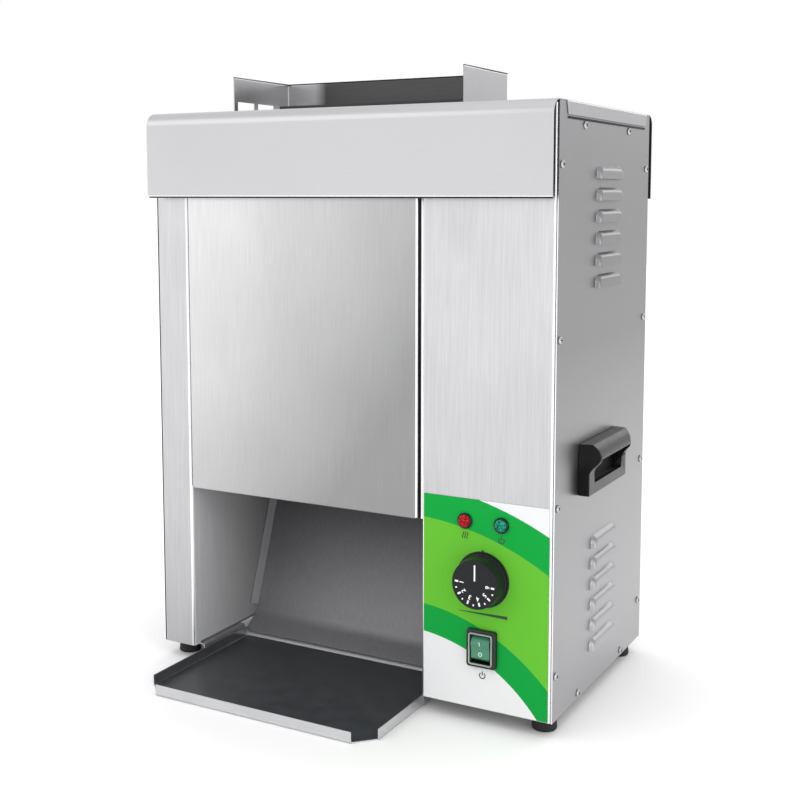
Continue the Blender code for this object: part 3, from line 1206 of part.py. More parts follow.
def thermostat():
    """The thermostat behind the panel, its neck through the panel up to the knob's ring."""
    neck = SHEET + FASCIA_THICKNESS + 2.0 * GAP
    face = SHEET + GAP
    place = (CONTROL_X, face, KNOB_Z)
    box = block(THERMOSTAT_WIDTH, THERMOSTAT_DEPTH, THERMOSTAT_HEIGHT, THERMOSTAT_BEVEL, 1)
    bmesh.ops.translate(box, verts=box.verts, vec=(0.0, THERMOSTAT_DEPTH / 2.0, 0.0))
    body = piece("thermostat", box, place, BAKELITE)
    inner = -THERMOSTAT_DEPTH / 2.0
    sleeve = turned([(0.0, inner), (THERMOSTAT_NECK_RADIUS, inner), (THERMOSTAT_NECK_RADIUS, neck),
                     (0.0, neck)], SHAFT_SIDES, to_axis=TO_FRONT)
    combine(body, piece("neck_thermostat", sleeve, place), "UNION")
    bore = bore_radius(SPINDLE_RADIUS, SHAFT_SIDES)
    deep = -SPINDLE_DEPTH
    shallow = neck + CUT_OVERRUN
    drill = turned([(0.0, deep), (bore, deep), (bore, shallow), (0.0, shallow)], SHAFT_SIDES,
                   to_axis=TO_FRONT)
    combine(body, piece("drill_thermostat", drill, place), "DIFFERENCE")


def rocker_outline():
    """The rocker from the side, about its pivot: a dished front between two arcs, and a hub behind."""
    front = ROCKER_PIVOT_DEPTH + SWITCH_BEZEL_DEPTH + ROCKER_RISE
    lowest = math.asin(front / ROCKER_RADIUS)
    step = (lowest + ROCKER_WRAP) / ROCKER_ARC_STEPS
    arc = [lowest - step * index for index in range(ROCKER_ARC_STEPS + 1)]
    upper = [(-ROCKER_RADIUS * math.sin(a), ROCKER_RADIUS * math.cos(a)) for a in arc]
    lower = [(y, -z) for y, z in reversed(upper)]
    return [(-front + ROCKER_DISH, 0.0), *upper, (ROCKER_HUB_RADIUS, 0.0), *lower]


def rocker_switch():
    """The switch housing in its bezel, and the rocker that tips in it, at rest with its lower end in."""
    face = FASCIA_FACE - GAP
    place = (CONTROL_X, face, SWITCH_Z)
    bezel = block(SWITCH_BEZEL_WIDTH, SWITCH_BEZEL_DEPTH, SWITCH_BEZEL_HEIGHT, SWITCH_BEZEL_BEVEL, 2)
    bmesh.ops.translate(bezel, verts=bezel.verts, vec=(0.0, -SWITCH_BEZEL_DEPTH / 2.0, 0.0))
    housing = piece("switch_housing", bezel, place, SWITCH_PLASTIC)
    total = SWITCH_BODY_DEPTH + SWITCH_BEZEL_DEPTH / 2.0
    body = block(SWITCH_BODY_WIDTH, total, SWITCH_BODY_HEIGHT)
    bmesh.ops.translate(body, verts=body.verts, vec=(0.0, SWITCH_BODY_DEPTH - total / 2.0, 0.0))
    combine(housing, piece("body_switch", body, place), "UNION")
    well_width = SWITCH_BODY_WIDTH - 2.0 * SWITCH_WALL
    well_height = 2.0 * (ROCKER_RADIUS + ROCKER_CLEARANCE)
    floor = SWITCH_BODY_DEPTH - SWITCH_WALL
    deep = floor + SWITCH_BEZEL_DEPTH + CUT_OVERRUN
    well = block(well_width, deep, well_height)
    bmesh.ops.translate(well, verts=well.verts, vec=(0.0, floor - deep / 2.0, 0.0))
    combine(housing, piece("well_switch", well, place), "DIFFERENCE")
    width = well_width - 2.0 * ROCKER_CLEARANCE
    bm = slab([rocker_outline()], in_yz(-width / 2.0), -X_AXIS, width)
    pivot = (CONTROL_X, face + ROCKER_PIVOT_DEPTH, SWITCH_Z)
    piece("switch_rocker", bm, pivot, ROCKER_PLASTIC, turn=(ROCKER_TILT, 0.0, 0.0))


def lamps():
    """The two indicator lamps: a barrel with a bezel, and a faceted lens seated in it."""
    seat = LAMP_BEZEL_DEPTH - LAMP_LENS_SEAT
    cup = LAMP_LENS_RADIUS + GAP
    edge = LAMP_BEZEL_DEPTH / 4.0
    barrel = [(0.0, -LAMP_BARREL_LENGTH), (LAMP_BARREL_RADIUS, -LAMP_BARREL_LENGTH),
              (LAMP_BARREL_RADIUS, 0.0), (LAMP_BEZEL_RADIUS, 0.0),
              (LAMP_BEZEL_RADIUS, LAMP_BEZEL_DEPTH - edge), (LAMP_BEZEL_RADIUS - edge, LAMP_BEZEL_DEPTH),
              (cup, LAMP_BEZEL_DEPTH), (cup, seat), (0.0, seat)]
    lens = [(0.0, seat + GAP), (LAMP_LENS_RADIUS, seat + GAP)]
    lens += [(LAMP_LENS_RADIUS * across, seat + GAP + LAMP_LENS_HEIGHT * up)
             for across, up in LAMP_LENS_CROWN_SHARES]
    lens.append((0.0, seat + GAP + LAMP_LENS_HEIGHT))
    for name, x, finish in (("red_lamp", CONTROL_X - LAMP_SPACING / 2.0, RED_LENS),
                            ("green_lamp", CONTROL_X + LAMP_SPACING / 2.0, GREEN_LENS)):
        place = (x, FASCIA_FACE - GAP, LAMP_Z)
        piece(f"{name}_body", turned(barrel, LAMP_SIDES, to_axis=TO_FRONT), place, LAMP_METAL, smooth=True)
        piece(f"{name}_lens", turned(lens, LAMP_LENS_SIDES, to_axis=TO_FRONT), place, finish)


def terminal_block():
    """The terminal block on the base pan, with a rib on each side of every pole."""
    width = TERMINAL_POLES * TERMINAL_PITCH + TERMINAL_RIB_WIDTH
    outline = [(width, 0.0), (0.0, 0.0)]
    top = TERMINAL_BASE + TERMINAL_RIB
    for index in range(TERMINAL_POLES + 1):
        low = TERMINAL_PITCH * index
        high = low + TERMINAL_RIB_WIDTH
        if index > 0:
            outline.append((low, TERMINAL_BASE))
        outline += [(low, top), (high, top)]
        if index < TERMINAL_POLES:
            outline.append((high, TERMINAL_BASE))
    bm = slab([outline], in_xz(0.0), -Y_AXIS, TERMINAL_DEPTH)
    place = (RIGHT - TERMINAL_INSET - width / 2.0, BODY_DEPTH - TERMINAL_REAR_INSET, PAN_TOP)
    piece("terminal_block", bm, place, BAKELITE)


def cable_gland():
    """The cable gland in the rear panel, with its bore open and its locknut inside."""
    outer_seat = GAP
    inner_seat = -SHEET - GAP
    flat = math.cos(2.0 * math.pi / GLAND_SIDES)
    shape = [(GLAND_BORE_RADIUS, inner_seat - GLAND_LOCKNUT - GLAND_TAIL, False),
             (GLAND_THREAD_RADIUS, inner_seat - GLAND_LOCKNUT - GLAND_TAIL, False),
             (GLAND_THREAD_RADIUS, inner_seat - GLAND_LOCKNUT, False),
             (GLAND_NUT_RADIUS, inner_seat - GLAND_LOCKNUT, True), (GLAND_NUT_RADIUS, inner_seat, True),
             (GLAND_THREAD_RADIUS, inner_seat, False), (GLAND_THREAD_RADIUS, outer_seat, False),
             (GLAND_NUT_RADIUS, outer_seat, True), (GLAND_NUT_RADIUS, outer_seat + GLAND_COLLAR, True),
             (GLAND_CAP_RADIUS, outer_seat + GLAND_COLLAR, False),
             (GLAND_CAP_RADIUS, outer_seat + GLAND_COLLAR + GLAND_CAP_LENGTH, False),
             (GLAND_MOUTH_RADIUS, outer_seat + GLAND_COLLAR + GLAND_CAP_LENGTH + GLAND_MOUTH_LENGTH, False),
             (GLAND_BORE_RADIUS, outer_seat + GLAND_COLLAR + GLAND_CAP_LENGTH + GLAND_MOUTH_LENGTH, False)]
    sections = []
    for radius, height, is_hex in shape:
        points = []
        for index in range(GLAND_SIDES):
            angle = 2.0 * math.pi * index / GLAND_SIDES
            reach = radius * flat if is_hex and index % 2 else radius
            points.append((reach * math.cos(angle), height, reach * math.sin(angle)))
        sections.append(points)
    piece("cable_gland", ring_stack(sections, GLAND_SIDES), (RIGHT - GLAND_INSET, BODY_DEPTH, GLAND_Z),
          GLAND_PLASTIC)


clear_scene()

body_frame = bpy.data.objects.new("body_frame", None)
bpy.context.scene.collection.objects.link(body_frame)
body_frame.location = (0.0, (TRAY_FRONT_REACH - BODY_DEPTH - REAR_REACH) / 2.0, FOOT_HEIGHT)

STEEL_BRUSHED = material("brushed_stainless", (0.66, 0.66, 0.67), 0.34, 1.0)
STEEL_HOOD = material("hood_stainless", (0.72, 0.72, 0.73), 0.28, 1.0)
STEEL_SIDE = material("side_stainless", (0.42, 0.42, 0.43), 0.36, 1.0)
STEEL_INNER = material("inner_stainless", (0.38, 0.38, 0.39), 0.42, 1.0)
STEEL_TRAY = material("tray_stainless", (0.30, 0.31, 0.32), 0.40, 1.0)
ROLLER_STEEL = material("roller_steel", (0.50, 0.50, 0.51), 0.35, 1.0)
BELT_STEEL = material("belt_stainless", (0.46, 0.46, 0.47), 0.38, 1.0)
ELEMENT_STEEL = material("element_sheath", (0.16, 0.15, 0.15), 0.50, 1.0)
GEAR_STEEL = material("gear_steel", (0.34, 0.34, 0.35), 0.40, 1.0)
ALUMINIUM = material("cast_aluminium", (0.48, 0.48, 0.49), 0.50, 1.0)
BRONZE = material("sintered_bronze", (0.45, 0.28, 0.13), 0.48, 1.0)
LAMP_METAL = material("lamp_bezel", (0.40, 0.40, 0.41), 0.30, 1.0)
MOTOR_PAINT = material("motor_paint", (0.05, 0.05, 0.055), 0.45)
RELEASE_FILM = material("release_film", (0.020, 0.020, 0.020), 0.55)
RUBBER = material("foot_rubber", (0.012, 0.012, 0.012), 0.80)
HANDLE_PLASTIC = material("handle_plastic", (0.020, 0.020, 0.022), 0.45)
KNOB_PLASTIC = material("knob_plastic", (0.014, 0.014, 0.016), 0.38)
SWITCH_PLASTIC = material("switch_plastic", (0.012, 0.012, 0.012), 0.35)
ROCKER_PLASTIC = material("rocker_plastic", (0.010, 0.090, 0.035), 0.20)
BAKELITE = material("phenolic", (0.030, 0.028, 0.026), 0.50)
GLAND_PLASTIC = material("gland_nylon", (0.015, 0.015, 0.016), 0.45)
FASCIA_FILM = material("fascia_film", (0.10, 0.45, 0.06), 0.35)
RED_LENS = material("red_lens", (0.55, 0.010, 0.012), 0.15)
GREEN_LENS = material("green_lens", (0.010, 0.30, 0.20), 0.15)

base_pan()
feet()
left_side_panel()
right_side_panel()
front_panels()
rear_panel()
inner_walls()
top_hood()
front_cover()
bun_guard()
bun_chute()
landing_tray()
tray_guides()
handles()
platen()
platen_brackets()
heating_element()
rollers()
conveyor_belt("front_belt", FRONT_AXIS_Y)
conveyor_belt("rear_belt", REAR_AXIS_Y)
bushes()
gear_train()
motor_bracket()
gear_motor()
knob()
thermostat()
rocker_switch()
lamps()
terminal_block()
cable_gland()
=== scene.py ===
"""The finishes and the fine pieces of a vertical contact toaster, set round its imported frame."""
import json
import math

import bmesh
import bpy
from mathutils import Matrix, Vector


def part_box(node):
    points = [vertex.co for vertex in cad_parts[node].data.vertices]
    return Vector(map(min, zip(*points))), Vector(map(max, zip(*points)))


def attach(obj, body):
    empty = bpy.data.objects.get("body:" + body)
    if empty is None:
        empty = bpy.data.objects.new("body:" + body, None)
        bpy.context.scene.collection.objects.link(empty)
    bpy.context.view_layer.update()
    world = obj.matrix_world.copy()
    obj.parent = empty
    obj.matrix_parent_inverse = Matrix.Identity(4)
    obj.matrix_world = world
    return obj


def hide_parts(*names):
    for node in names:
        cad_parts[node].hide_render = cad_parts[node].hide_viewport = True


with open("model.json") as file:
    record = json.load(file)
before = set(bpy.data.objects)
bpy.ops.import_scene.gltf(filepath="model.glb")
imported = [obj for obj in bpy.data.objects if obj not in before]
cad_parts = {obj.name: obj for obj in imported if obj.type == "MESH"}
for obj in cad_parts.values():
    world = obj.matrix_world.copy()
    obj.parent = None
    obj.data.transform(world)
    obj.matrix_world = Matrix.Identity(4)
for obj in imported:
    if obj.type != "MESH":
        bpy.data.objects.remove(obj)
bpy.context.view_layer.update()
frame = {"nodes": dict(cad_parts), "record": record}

MM = 0.001
BODY_OF = {node: body for body, nodes in frame["record"]["behaviour"]["bodies"].items() for node in nodes}


def mm(*lengths):
    """Turns millimetres into metres."""
    return tuple(length * MM for length in lengths)


def centre_of(node):
    """Gives the middle of a frame piece."""
    low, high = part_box(node)
    return (low + high) / 2.0


# Places read from the frame
BODY_LOW, BODY_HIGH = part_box("left_side_panel")
BODY_RIGHT = -BODY_LOW.x
BODY_FRONT = BODY_LOW.y
BODY_REAR = BODY_HIGH.y
BODY_BOTTOM = BODY_LOW.z
PANEL_TOP = BODY_HIGH.z
COVER_LOW, COVER_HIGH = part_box("front_cover")
CHUTE_LOW, CHUTE_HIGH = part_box("bun_chute")
KNOB_CENTRE = centre_of("temperature_dial")
SIDES = (("right", 1.0), ("left", -1.0))
SHEET = 1.2 * MM

# Least share of a face's normal along an axis for it to face that way, to slant or just to lean that way
SQUARE = 0.9
SLANTED = 0.7
LEANING = 0.2

# Reach within which two places are taken as one
TOUCH = 0.1 * MM

# Turns a shape that stands up along Z so that it points to the front
TO_FRONT = Matrix.Rotation(math.pi / 2.0, 4, "X")


def linear(code):
    """Turns an sRGB hex colour into linear values."""
    parts = [int(code[i:i + 2], 16) / 255.0 for i in (1, 3, 5)]
    return (*(c / 12.92 if c <= 0.04045 else ((c + 0.055) / 1.055) ** 2.4 for c in parts), 1.0)


def add(tree, kind, settings=None, sockets=None):
    """Adds a node, sets it, and feeds its sockets with values or with other nodes' outputs."""
    node = tree.nodes.new("ShaderNode" + kind)
    for name, value in (settings or {}).items():
        setattr(node, name, value)
    for name, value in (sockets or {}).items():
        if isinstance(value, bpy.types.NodeSocket):
            tree.links.new(value, node.inputs[name])
        else:
            node.inputs[name].default_value = value
    return node


# The middle of a noise, where nearly all of its values lie
MIDDLE = (0.3, 0.7)


def grained(name, fine, tones=None, broad=None, share=1.0, span=MIDDLE, roughness=None, relief=None,
            fades=(), paint=None, **sockets):
    """A finish whose tone, roughness and relief follow patterns of real sizes.

    A pattern is its size along each axis, its detail and its roughness. The fine one raises the relief, given
    as strength and depth, and has its share of the tone beside the broad one. A fade is its start, its end
    and its tint. The shader's own sockets have underscores for spaces."""
    made = bpy.data.materials.new(name)
    made.use_nodes = True
    tree = made.node_tree
    tree.nodes.clear()
    coords = add(tree, "TexCoord").outputs["Object"]
    noises = []
    for size, detail, rough in filter(None, (fine, broad)):
        place = add(tree, "Mapping", sockets={
            "Vector": coords, "Scale": [1.0 / length for length in size]})
        noise = add(tree, "TexNoise", sockets={
            "Vector": place.outputs["Vector"], "Scale": 1.0, "Detail": detail, "Roughness": rough})
        noises.append(noise.outputs["Fac"])
    tone = noises[0]
    if broad:
        tone = add(tree, "Mix", sockets={0: share, 2: noises[1], 3: noises[0]}).outputs[0]
    if paint:
        colour = paint(tree, coords)
    else:
        step = add(tree, "MapRange", sockets={
            "Value": tone, "From Min": span[0], "From Max": span[1]})
        colour = add(tree, "Mix", {"data_type": "RGBA"}, {
            0: step.outputs["Result"], 6: linear(tones[0]), 7: linear(tones[1])}).outputs[2]
    for start, end, tint in fades:
        reach = Vector(end) - Vector(start)
        place = add(tree, "VectorMath", {"operation": "SUBTRACT"}, {0: coords, 1: start})
        along = add(tree, "VectorMath", {"operation": "DOT_PRODUCT"}, {
            0: place.outputs["Vector"], 1: reach / reach.length_squared})
        colour = add(tree, "Mix", {"data_type": "RGBA", "blend_type": "MULTIPLY"}, {
            0: along.outputs["Value"], 6: colour, 7: linear(tint)}).outputs[2]
    fed = {socket.replace("_", " "): value for socket, value in sockets.items()}
    fed["Base Color"] = colour
    if roughness:
        fed["Roughness"] = add(tree, "MapRange", sockets={
            "Value": tone, "From Min": MIDDLE[0], "From Max": MIDDLE[1], "To Min": roughness[0],
            "To Max": roughness[1]}).outputs["Result"]
    if relief:
        fed["Normal"] = add(tree, "Bump", sockets={
            "Strength": relief[0], "Distance": relief[1], "Height": noises[0]}).outputs["Normal"]
    shader = add(tree, "BsdfPrincipled", sockets=fed)
    add(tree, "OutputMaterial", sockets={"Surface": shader.outputs["BSDF"]})
    return made


def brushed(name, dark, light, grain, roughness, strength=0.10, fades=(), metal=1.0):
    """Metal with a grain: streaks that catch the light a little differently, over broad soft clouds."""
    return grained(name, (grain, 4.0, 0.65), (dark, light), (mm(90.0, 90.0, 140.0), 2.0, 0.5), 0.65,
                   (0.36, 0.64), roughness, (strength, 0.05 * MM), fades, Metallic=metal)


def moulded(name, dark, light, roughness, texture, strength, **sockets):
    """Plastic, rubber, paint or ink: an even colour, handled a little unevenly, over a fine texture."""
    return grained(name, (mm(texture, texture, texture), 3.0, 0.6), (dark, light),
                   (mm(22.0, 22.0, 22.0), 3.0, 0.6), 0.0, MIDDLE, roughness, (strength, 0.06 * MM), **sockets)


def faceted(name, dark, light, glow):
    """Tinted acrylic cut into facets, which glows a little from the light that it gathers."""
    return grained(name, (mm(1.8, 1.8, 1.8), 1.0, 0.5), (dark, light), span=(0.4, 0.6), Roughness=0.08,
                   IOR=1.49, Transmission_Weight=0.2, Emission_Strength=0.05, Emission_Color=linear(glow))


# Streaks of the brushing, drawn about a pixel wide, since the real 0.2 mm grain is too fine to show
STREAK = 1.1
STREAK_LENGTH = 60.0
UPRIGHT = mm(STREAK, STREAK, STREAK_LENGTH)

# Front sheets, brushed upright: fine upright streaks, a sheen that spreads the lights sideways, and painted
# shade that darkens them towards the bottom
FRONT_STEEL = brushed("vertically_brushed_stainless", "#d4d4d6", "#e6e6e8", UPRIGHT, (0.28, 0.40), 0.09,
                      fades=[((0.0, 0.0, PANEL_TOP), (0.0, 0.0, BODY_BOTTOM), "#d0d0d0")])
# Bends and cut edges painted brighter than the sheets: painted highlights that show as bright lines along the
# edges of the sheets
HIGHLIGHT_STEEL = brushed("steel_painted_bright_as_highlight", "#f2f2f4", "#ffffff", UPRIGHT, (0.24, 0.32), 0.05)
# The cover over the hot bay: the same brushing, with a painted reflection that darkens it towards its lower
# right corner
COVER_STEEL = brushed("brushed_stainless_painted_darker_lower_right", "#eeeef0", "#ffffff", UPRIGHT, (0.28, 0.40), 0.09,
                      fades=[((COVER_LOW.x, 0.0, COVER_HIGH.z),
                              (COVER_HIGH.x, 0.0, COVER_HIGH.z - 260.0 * MM), "#9b9b9b")])
# Hood, rolled along its width: hardly any grain, one even satin tone
HOOD_STEEL = brushed("satin_stainless_along_the_width", "#d1d1d3", "#d4d4d6",
                     mm(STREAK_LENGTH, STREAK, STREAK), (0.28, 0.30), 0.004)
# Side and rear panels, ground satin: soft grey with long faint streaks, and a painted reflection that darkens
# them most in a band beside the platen
SIDE_DARKEST = (0.0, 0.0, BODY_BOTTOM + 400.0 * MM)
SIDE_STEEL = brushed("satin_stainless_side", "#cacacc", "#d0d0d2", mm(2.5, 2.5, 90.0), (0.34, 0.40), 0.03,
                     fades=[((0.0, 0.0, BODY_BOTTOM + 60.0 * MM), SIDE_DARKEST, "#c8c8c8"),
                            ((0.0, 0.0, PANEL_TOP), SIDE_DARKEST, "#d9d9d9")])
# Hidden sheets as they leave the mill: cloudy grey with a weak shine
INNER_STEEL = brushed("mill_finish_stainless", "#c4c4c6", "#d2d2d4", mm(3.0, 3.0, 40.0), (0.42, 0.52), 0.05)
# Walls of the bay: flat grey without reflections, with painted shade that darkens them towards the rear
BAY_STEEL = brushed("bay_stainless_painted_darker_to_rear", "#d6d6d8", "#e2e2e4", mm(3.0, 3.0, 40.0), (0.46, 0.56),
                    0.05, [((0.0, BODY_FRONT, 0.0), (0.0, BODY_FRONT + 190.0 * MM, 0.0), "#949494")], 0.15)
# Chute, painted dark grey as shade, with painted shade that darkens it further towards the top
CHUTE_STEEL = brushed("chute_stainless_painted_dark", "#86868a", "#929294", mm(3.0, 3.0, 50.0), (0.44, 0.54),
                      0.04, [((0.0, 0.0, CHUTE_LOW.z + 40.0 * MM), (0.0, 0.0, CHUTE_HIGH.z - 20.0 * MM),
                              "#606060")], 0.5)
# Flanges of the chute, in plain steel without the chute's painted shade: a paler line at its sides
CHUTE_EDGE = brushed("chute_flange_stainless", "#c0c0c2", "#cacacc", mm(3.0, 3.0, 50.0), (0.44, 0.54),
                     0.04, (), 0.25)
# Inside of the guard, with painted shade: darker along it, lighter only on the left wing
GUARD_STEEL = brushed("guard_stainless_painted_shade_inside", "#b2b2b4", "#bebec0", mm(40.0, 2.0, 2.0),
                      (0.28, 0.34), 0.01, [(mm(-172.0, 0.0, 0.0), mm(-154.0, 0.0, 0.0), "#757575")])
# Outside of the guard and ends of the hood: clean satin steel, a shade darker than the hood's face
GUARD_OUTSIDE = brushed("guard_stainless_outside", "#b4b4b6", "#bcbcbe", mm(40.0, 2.0, 2.0),
                        (0.28, 0.34), 0.02)
# Inner faces, gaps and undersides painted dark grey as shade
SHADED_STEEL = brushed("steel_painted_dark_as_shade", "#3a3a3c", "#48484a", mm(6.0, 6.0, 6.0), (0.50, 0.62), 0.05)
# Tray, brushed along its width: a clean pale edge round the dark coating
TRAY_STEEL = brushed("satin_stainless_tray", "#cacacc", "#dadadc", mm(50.0, STREAK, STREAK),
                     (0.28, 0.36), 0.06)
# Drawn wire: bright rods, ringed a little by the die
BELT_STEEL = brushed("drawn_wire_stainless", "#a2a2a4", "#bababc", mm(6.0, 1.0, 6.0), (0.32, 0.42))
# Turned rollers: fine rings left by the lathe
ROLLER_STEEL = brushed("turned_steel", "#b0b0b2", "#c6c6c8", mm(0.6, 20.0, 20.0), (0.28, 0.38))
# Machined gears, oiled: darker grey with small bright flecks
GEAR_STEEL = brushed("machined_gear_steel", "#8e8e90", "#a4a4a6", mm(2.0, 2.0, 2.0), (0.32, 0.44))
# Cast platen, baked for years: a warm, rough, mottled grey
CAST_ALUMINIUM = brushed("heat_darkened_cast_aluminium", "#8f8d8a", "#b0aeab", mm(4.0, 4.0, 4.0),
                         (0.46, 0.60), 0.3)
# Sintered bushes: golden brown, with the grains of the powder
BRONZE = brushed("sintered_bronze", "#9c7a4c", "#b48e5c", mm(0.6, 0.6, 0.6), (0.42, 0.52), 0.2)
# Sheath of the element, oxidised: brown to black, with hardly a shine
SHEATH_STEEL = brushed("oxidised_element_sheath", "#3c3632", "#5a524c", mm(5.0, 5.0, 5.0), (0.45, 0.60))
# Zinc-plated screws: small bright glints on the dull panels
SCREW_STEEL = brushed("bright_zinc_screw_steel", "#b4b6b8", "#cccecf", mm(0.8, 0.8, 0.8), (0.16, 0.24), 0.02)
# Blackened chrome: a dark ring with one sharp highlight
LAMP_CHROME = brushed("blackened_chrome_ring", "#26282a", "#36383a", mm(1.0, 1.0, 1.0), (0.14, 0.20), 0.02)

# Glass-filled nylon grips: near black, with a soft broad shine on the round edges
HANDLE_NYLON = moulded("black_moulded_nylon_handle", "#1f2022", "#27282a", (0.32, 0.40), 0.5, 0.15)
# Finger pockets and end faces of the grips, painted near black as shade: black almost without shine
SHADED_NYLON = moulded("nylon_painted_dark_as_shade", "#0e0e0f", "#141415", (0.55, 0.65), 0.5, 0.15,
                       Specular_IOR_Level=0.15)
# Phenolic from a polished tool: deep black with thin highlights along the rim
KNOB_PLASTIC = moulded("black_satin_phenolic_knob", "#15181a", "#1b1e21", (0.30, 0.38), 0.4, 0.04,
                       Specular_IOR_Level=0.22)
# Glossy ABS of the switch: a sharp light line round its frame
SWITCH_PLASTIC = moulded("black_gloss_switch_bezel", "#141517", "#1a1b1e", (0.20, 0.28), 0.4, 0.03)
# Feet, and the strips of painted shadow under the hood: matt black that shows no highlight
FOOT_RUBBER = moulded("matt_black_rubber", "#1a1a1b", "#242425", (0.72, 0.84), 0.7, 0.3)
# Nylon gland: black with a faint shine on its corners
GLAND_NYLON = moulded("black_nylon_gland", "#202124", "#292a2d", (0.36, 0.44), 0.5, 0.15)
# Moulded phenolic: brown black with a fine mottle
PHENOLIC = moulded("brown_black_phenolic", "#332d29", "#3d3733", (0.42, 0.52), 0.6, 0.2)
# Stoved enamel over a casting: dark, with the dimples of sprayed paint
MOTOR_ENAMEL = moulded("black_stoved_enamel", "#2a2b2d", "#343537", (0.34, 0.42), 1.2, 0.25)
# Coated glass cloth: dark brown, with the relief of its weave
RELEASE_FILM = moulded("non_stick_glass_cloth", "#26231f", "#322e29", (0.46, 0.56), 1.0, 0.4)
# Sprayed coating on the tray: dark grey with a low sheen over fine pebbles
TRAY_COATING = moulded("dark_non_stick_coating", "#3a3d40", "#46494c", (0.34, 0.42), 0.6, 0.15, Metallic=0.35)
# Pad-printed ink: flat white that stands out from the black dial
WHITE_PRINT = moulded("white_pad_print", "#eef0ef", "#f6f8f7", (0.46, 0.54), 0.5, 0.05)
# Screen-printed ink: flat dark green on the film
DARK_PRINT = moulded("dark_green_screen_print", "#143a1c", "#1a4222", (0.44, 0.52), 0.5, 0.05)
# Silicone boot of the switch: a smooth grey rim, its paleness partly its own tint and partly a painted
# highlight, that lets a little light in
RIM_SILICONE = moulded("grey_translucent_silicone", "#a9b3ae", "#b9c2bd", (0.16, 0.24), 0.5, 0.03,
                       Transmission_Weight=0.25)
# Marks moulded in a second colour: pale mint on the rocker
MINT_PRINT = moulded("mint_moulded_symbol", "#b4e4cc", "#c4eed8", (0.34, 0.42), 0.5, 0.05)
# Translucent polycarbonate: light sinks in, so the green looks deep and its edges soft
ROCKER_GREEN = moulded("translucent_green_rocker", "#3c785a", "#4a886a", (0.18, 0.26), 0.5, 0.04,
                       Subsurface_Weight=0.35, Subsurface_Scale=2.0 * MM)
# Lamp lenses: points of deep and bright colour side by side
RED_LENS = faceted("red_acrylic_lens", "#6e0a0e", "#e8282e", "#d01a22")
TEAL_LENS = faceted("teal_acrylic_lens", "#064a42", "#27b996", "#16a085")

# Rings printed on the fascia, about a point that is set from its lower left corner
RING_CENTRE = mm(-20.0, -120.0)
RING_REACH = 420.0 * MM
RING_GROUND = "#dadbdc"
RINGS = ((196.0 * MM, "#04953a"), (228.0 * MM, "#5fb32f"), (326.0 * MM, "#049a3a"), (362.0 * MM, "#dedfe0"))


def ring_inks(tree, coords):
    """Gives the flat inks of the broad rings."""
    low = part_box("control_fascia")[0]
    place = add(tree, "Mapping", sockets={
        "Vector": coords, "Scale": (1.0, 0.0, 1.0),
        "Location": (-low.x - RING_CENTRE[0], 0.0, -low.z - RING_CENTRE[1])})
    length = add(tree, "VectorMath", {"operation": "LENGTH"}, {0: place.outputs["Vector"]})
    share = add(tree, "Math", {"operation": "DIVIDE"}, {0: length.outputs["Value"], 1: RING_REACH})
    ramp = add(tree, "ValToRGB", sockets={"Fac": share.outputs["Value"]})
    ramp.color_ramp.interpolation = "CONSTANT"
    inks = ramp.color_ramp.elements
    inks.remove(inks[1])
    inks[0].color = linear(RING_GROUND)
    for radius, ink in RINGS:
        inks.new(radius / RING_REACH).color = linear(ink)
    return ramp.outputs["Color"]


# Polycarbonate film printed from behind: flat, even inks under a satin skin
FASCIA_FILM = grained("printed_polycarbonate_film", (mm(0.8, 0.8, 0.8), 3.0, 0.6), paint=ring_inks,
                      relief=(0.04, 0.03 * MM), Roughness=0.36, Specular_IOR_Level=0.12)

# Faces that meet by less than this, in degrees, are smoothed as one surface; a few pieces have their own
GENTLE = 35.0
GENTLE_PRESSED = 42.0
GENTLE_MOULDED = 32.0


def linked(name, data):
    """Puts an object in the scene."""
    obj = bpy.data.objects.new(name, data)
    bpy.context.scene.collection.objects.link(obj)
    return obj


def mesh_from(shape, name, gentle=GENTLE):
    """Turns a shape into a mesh, smooth where its faces meet gently."""
    mesh = bpy.data.meshes.new(name)
    shape.to_mesh(mesh)
    shape.free()
    if gentle:
        mesh.shade_smooth()
        mesh.set_sharp_from_angle(angle=math.radians(gentle))
    return mesh


def placed(name, shape, finishes, body="root", stands_for=(), gentle=GENTLE):
    """Shows a shape as a piece that rides on a body."""
    obj = linked(name, mesh_from(shape, name, gentle))
    for finish in finishes:
        obj.data.materials.append(finish)
    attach(obj, body)
    if stands_for:
        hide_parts(*stands_for)
    return obj


def weigh_normals(obj):
    """Keeps large flat faces flat beside the round edges."""
    weigh = obj.modifiers.new("Flat", "WEIGHTED_NORMAL")
    weigh.keep_sharp = True
    weigh.weight = 80


def soften(obj, width, segments=2):
    """Rounds the edges of a piece."""
    edge = obj.modifiers.new("Edge", "BEVEL")
    edge.width = width
    edge.segments = segments
    edge.limit_method = "ANGLE"
    edge.angle_limit = math.radians(40.0)
    edge.harden_normals = True


def merged_copy(node):
    """Copies a frame piece with its loose triangles joined into whole faces."""
    bm = bmesh.new()
    bm.from_mesh(frame["nodes"][node].data)
    bmesh.ops.remove_doubles(bm, verts=bm.verts, dist=0.002 * MM)
    bmesh.ops.dissolve_limit(bm, angle_limit=math.radians(0.4), verts=bm.verts, edges=bm.edges)
    return bm


def moved(bm, place):
    """Moves a whole shape."""
    bmesh.ops.translate(bm, verts=bm.verts, vec=place)
    return bm


def turned(bm, matrix):
    """Turns and places a whole shape."""
    bmesh.ops.transform(bm, matrix=matrix, verts=bm.verts)
    return bm


def bevelled(bm, edges, width, segments=3):
    """Rounds some edges of a shape."""
    bmesh.ops.bevel(bm, geom=edges, offset=width, segments=segments, profile=0.5, affect="EDGES", material=-1)
    return bm


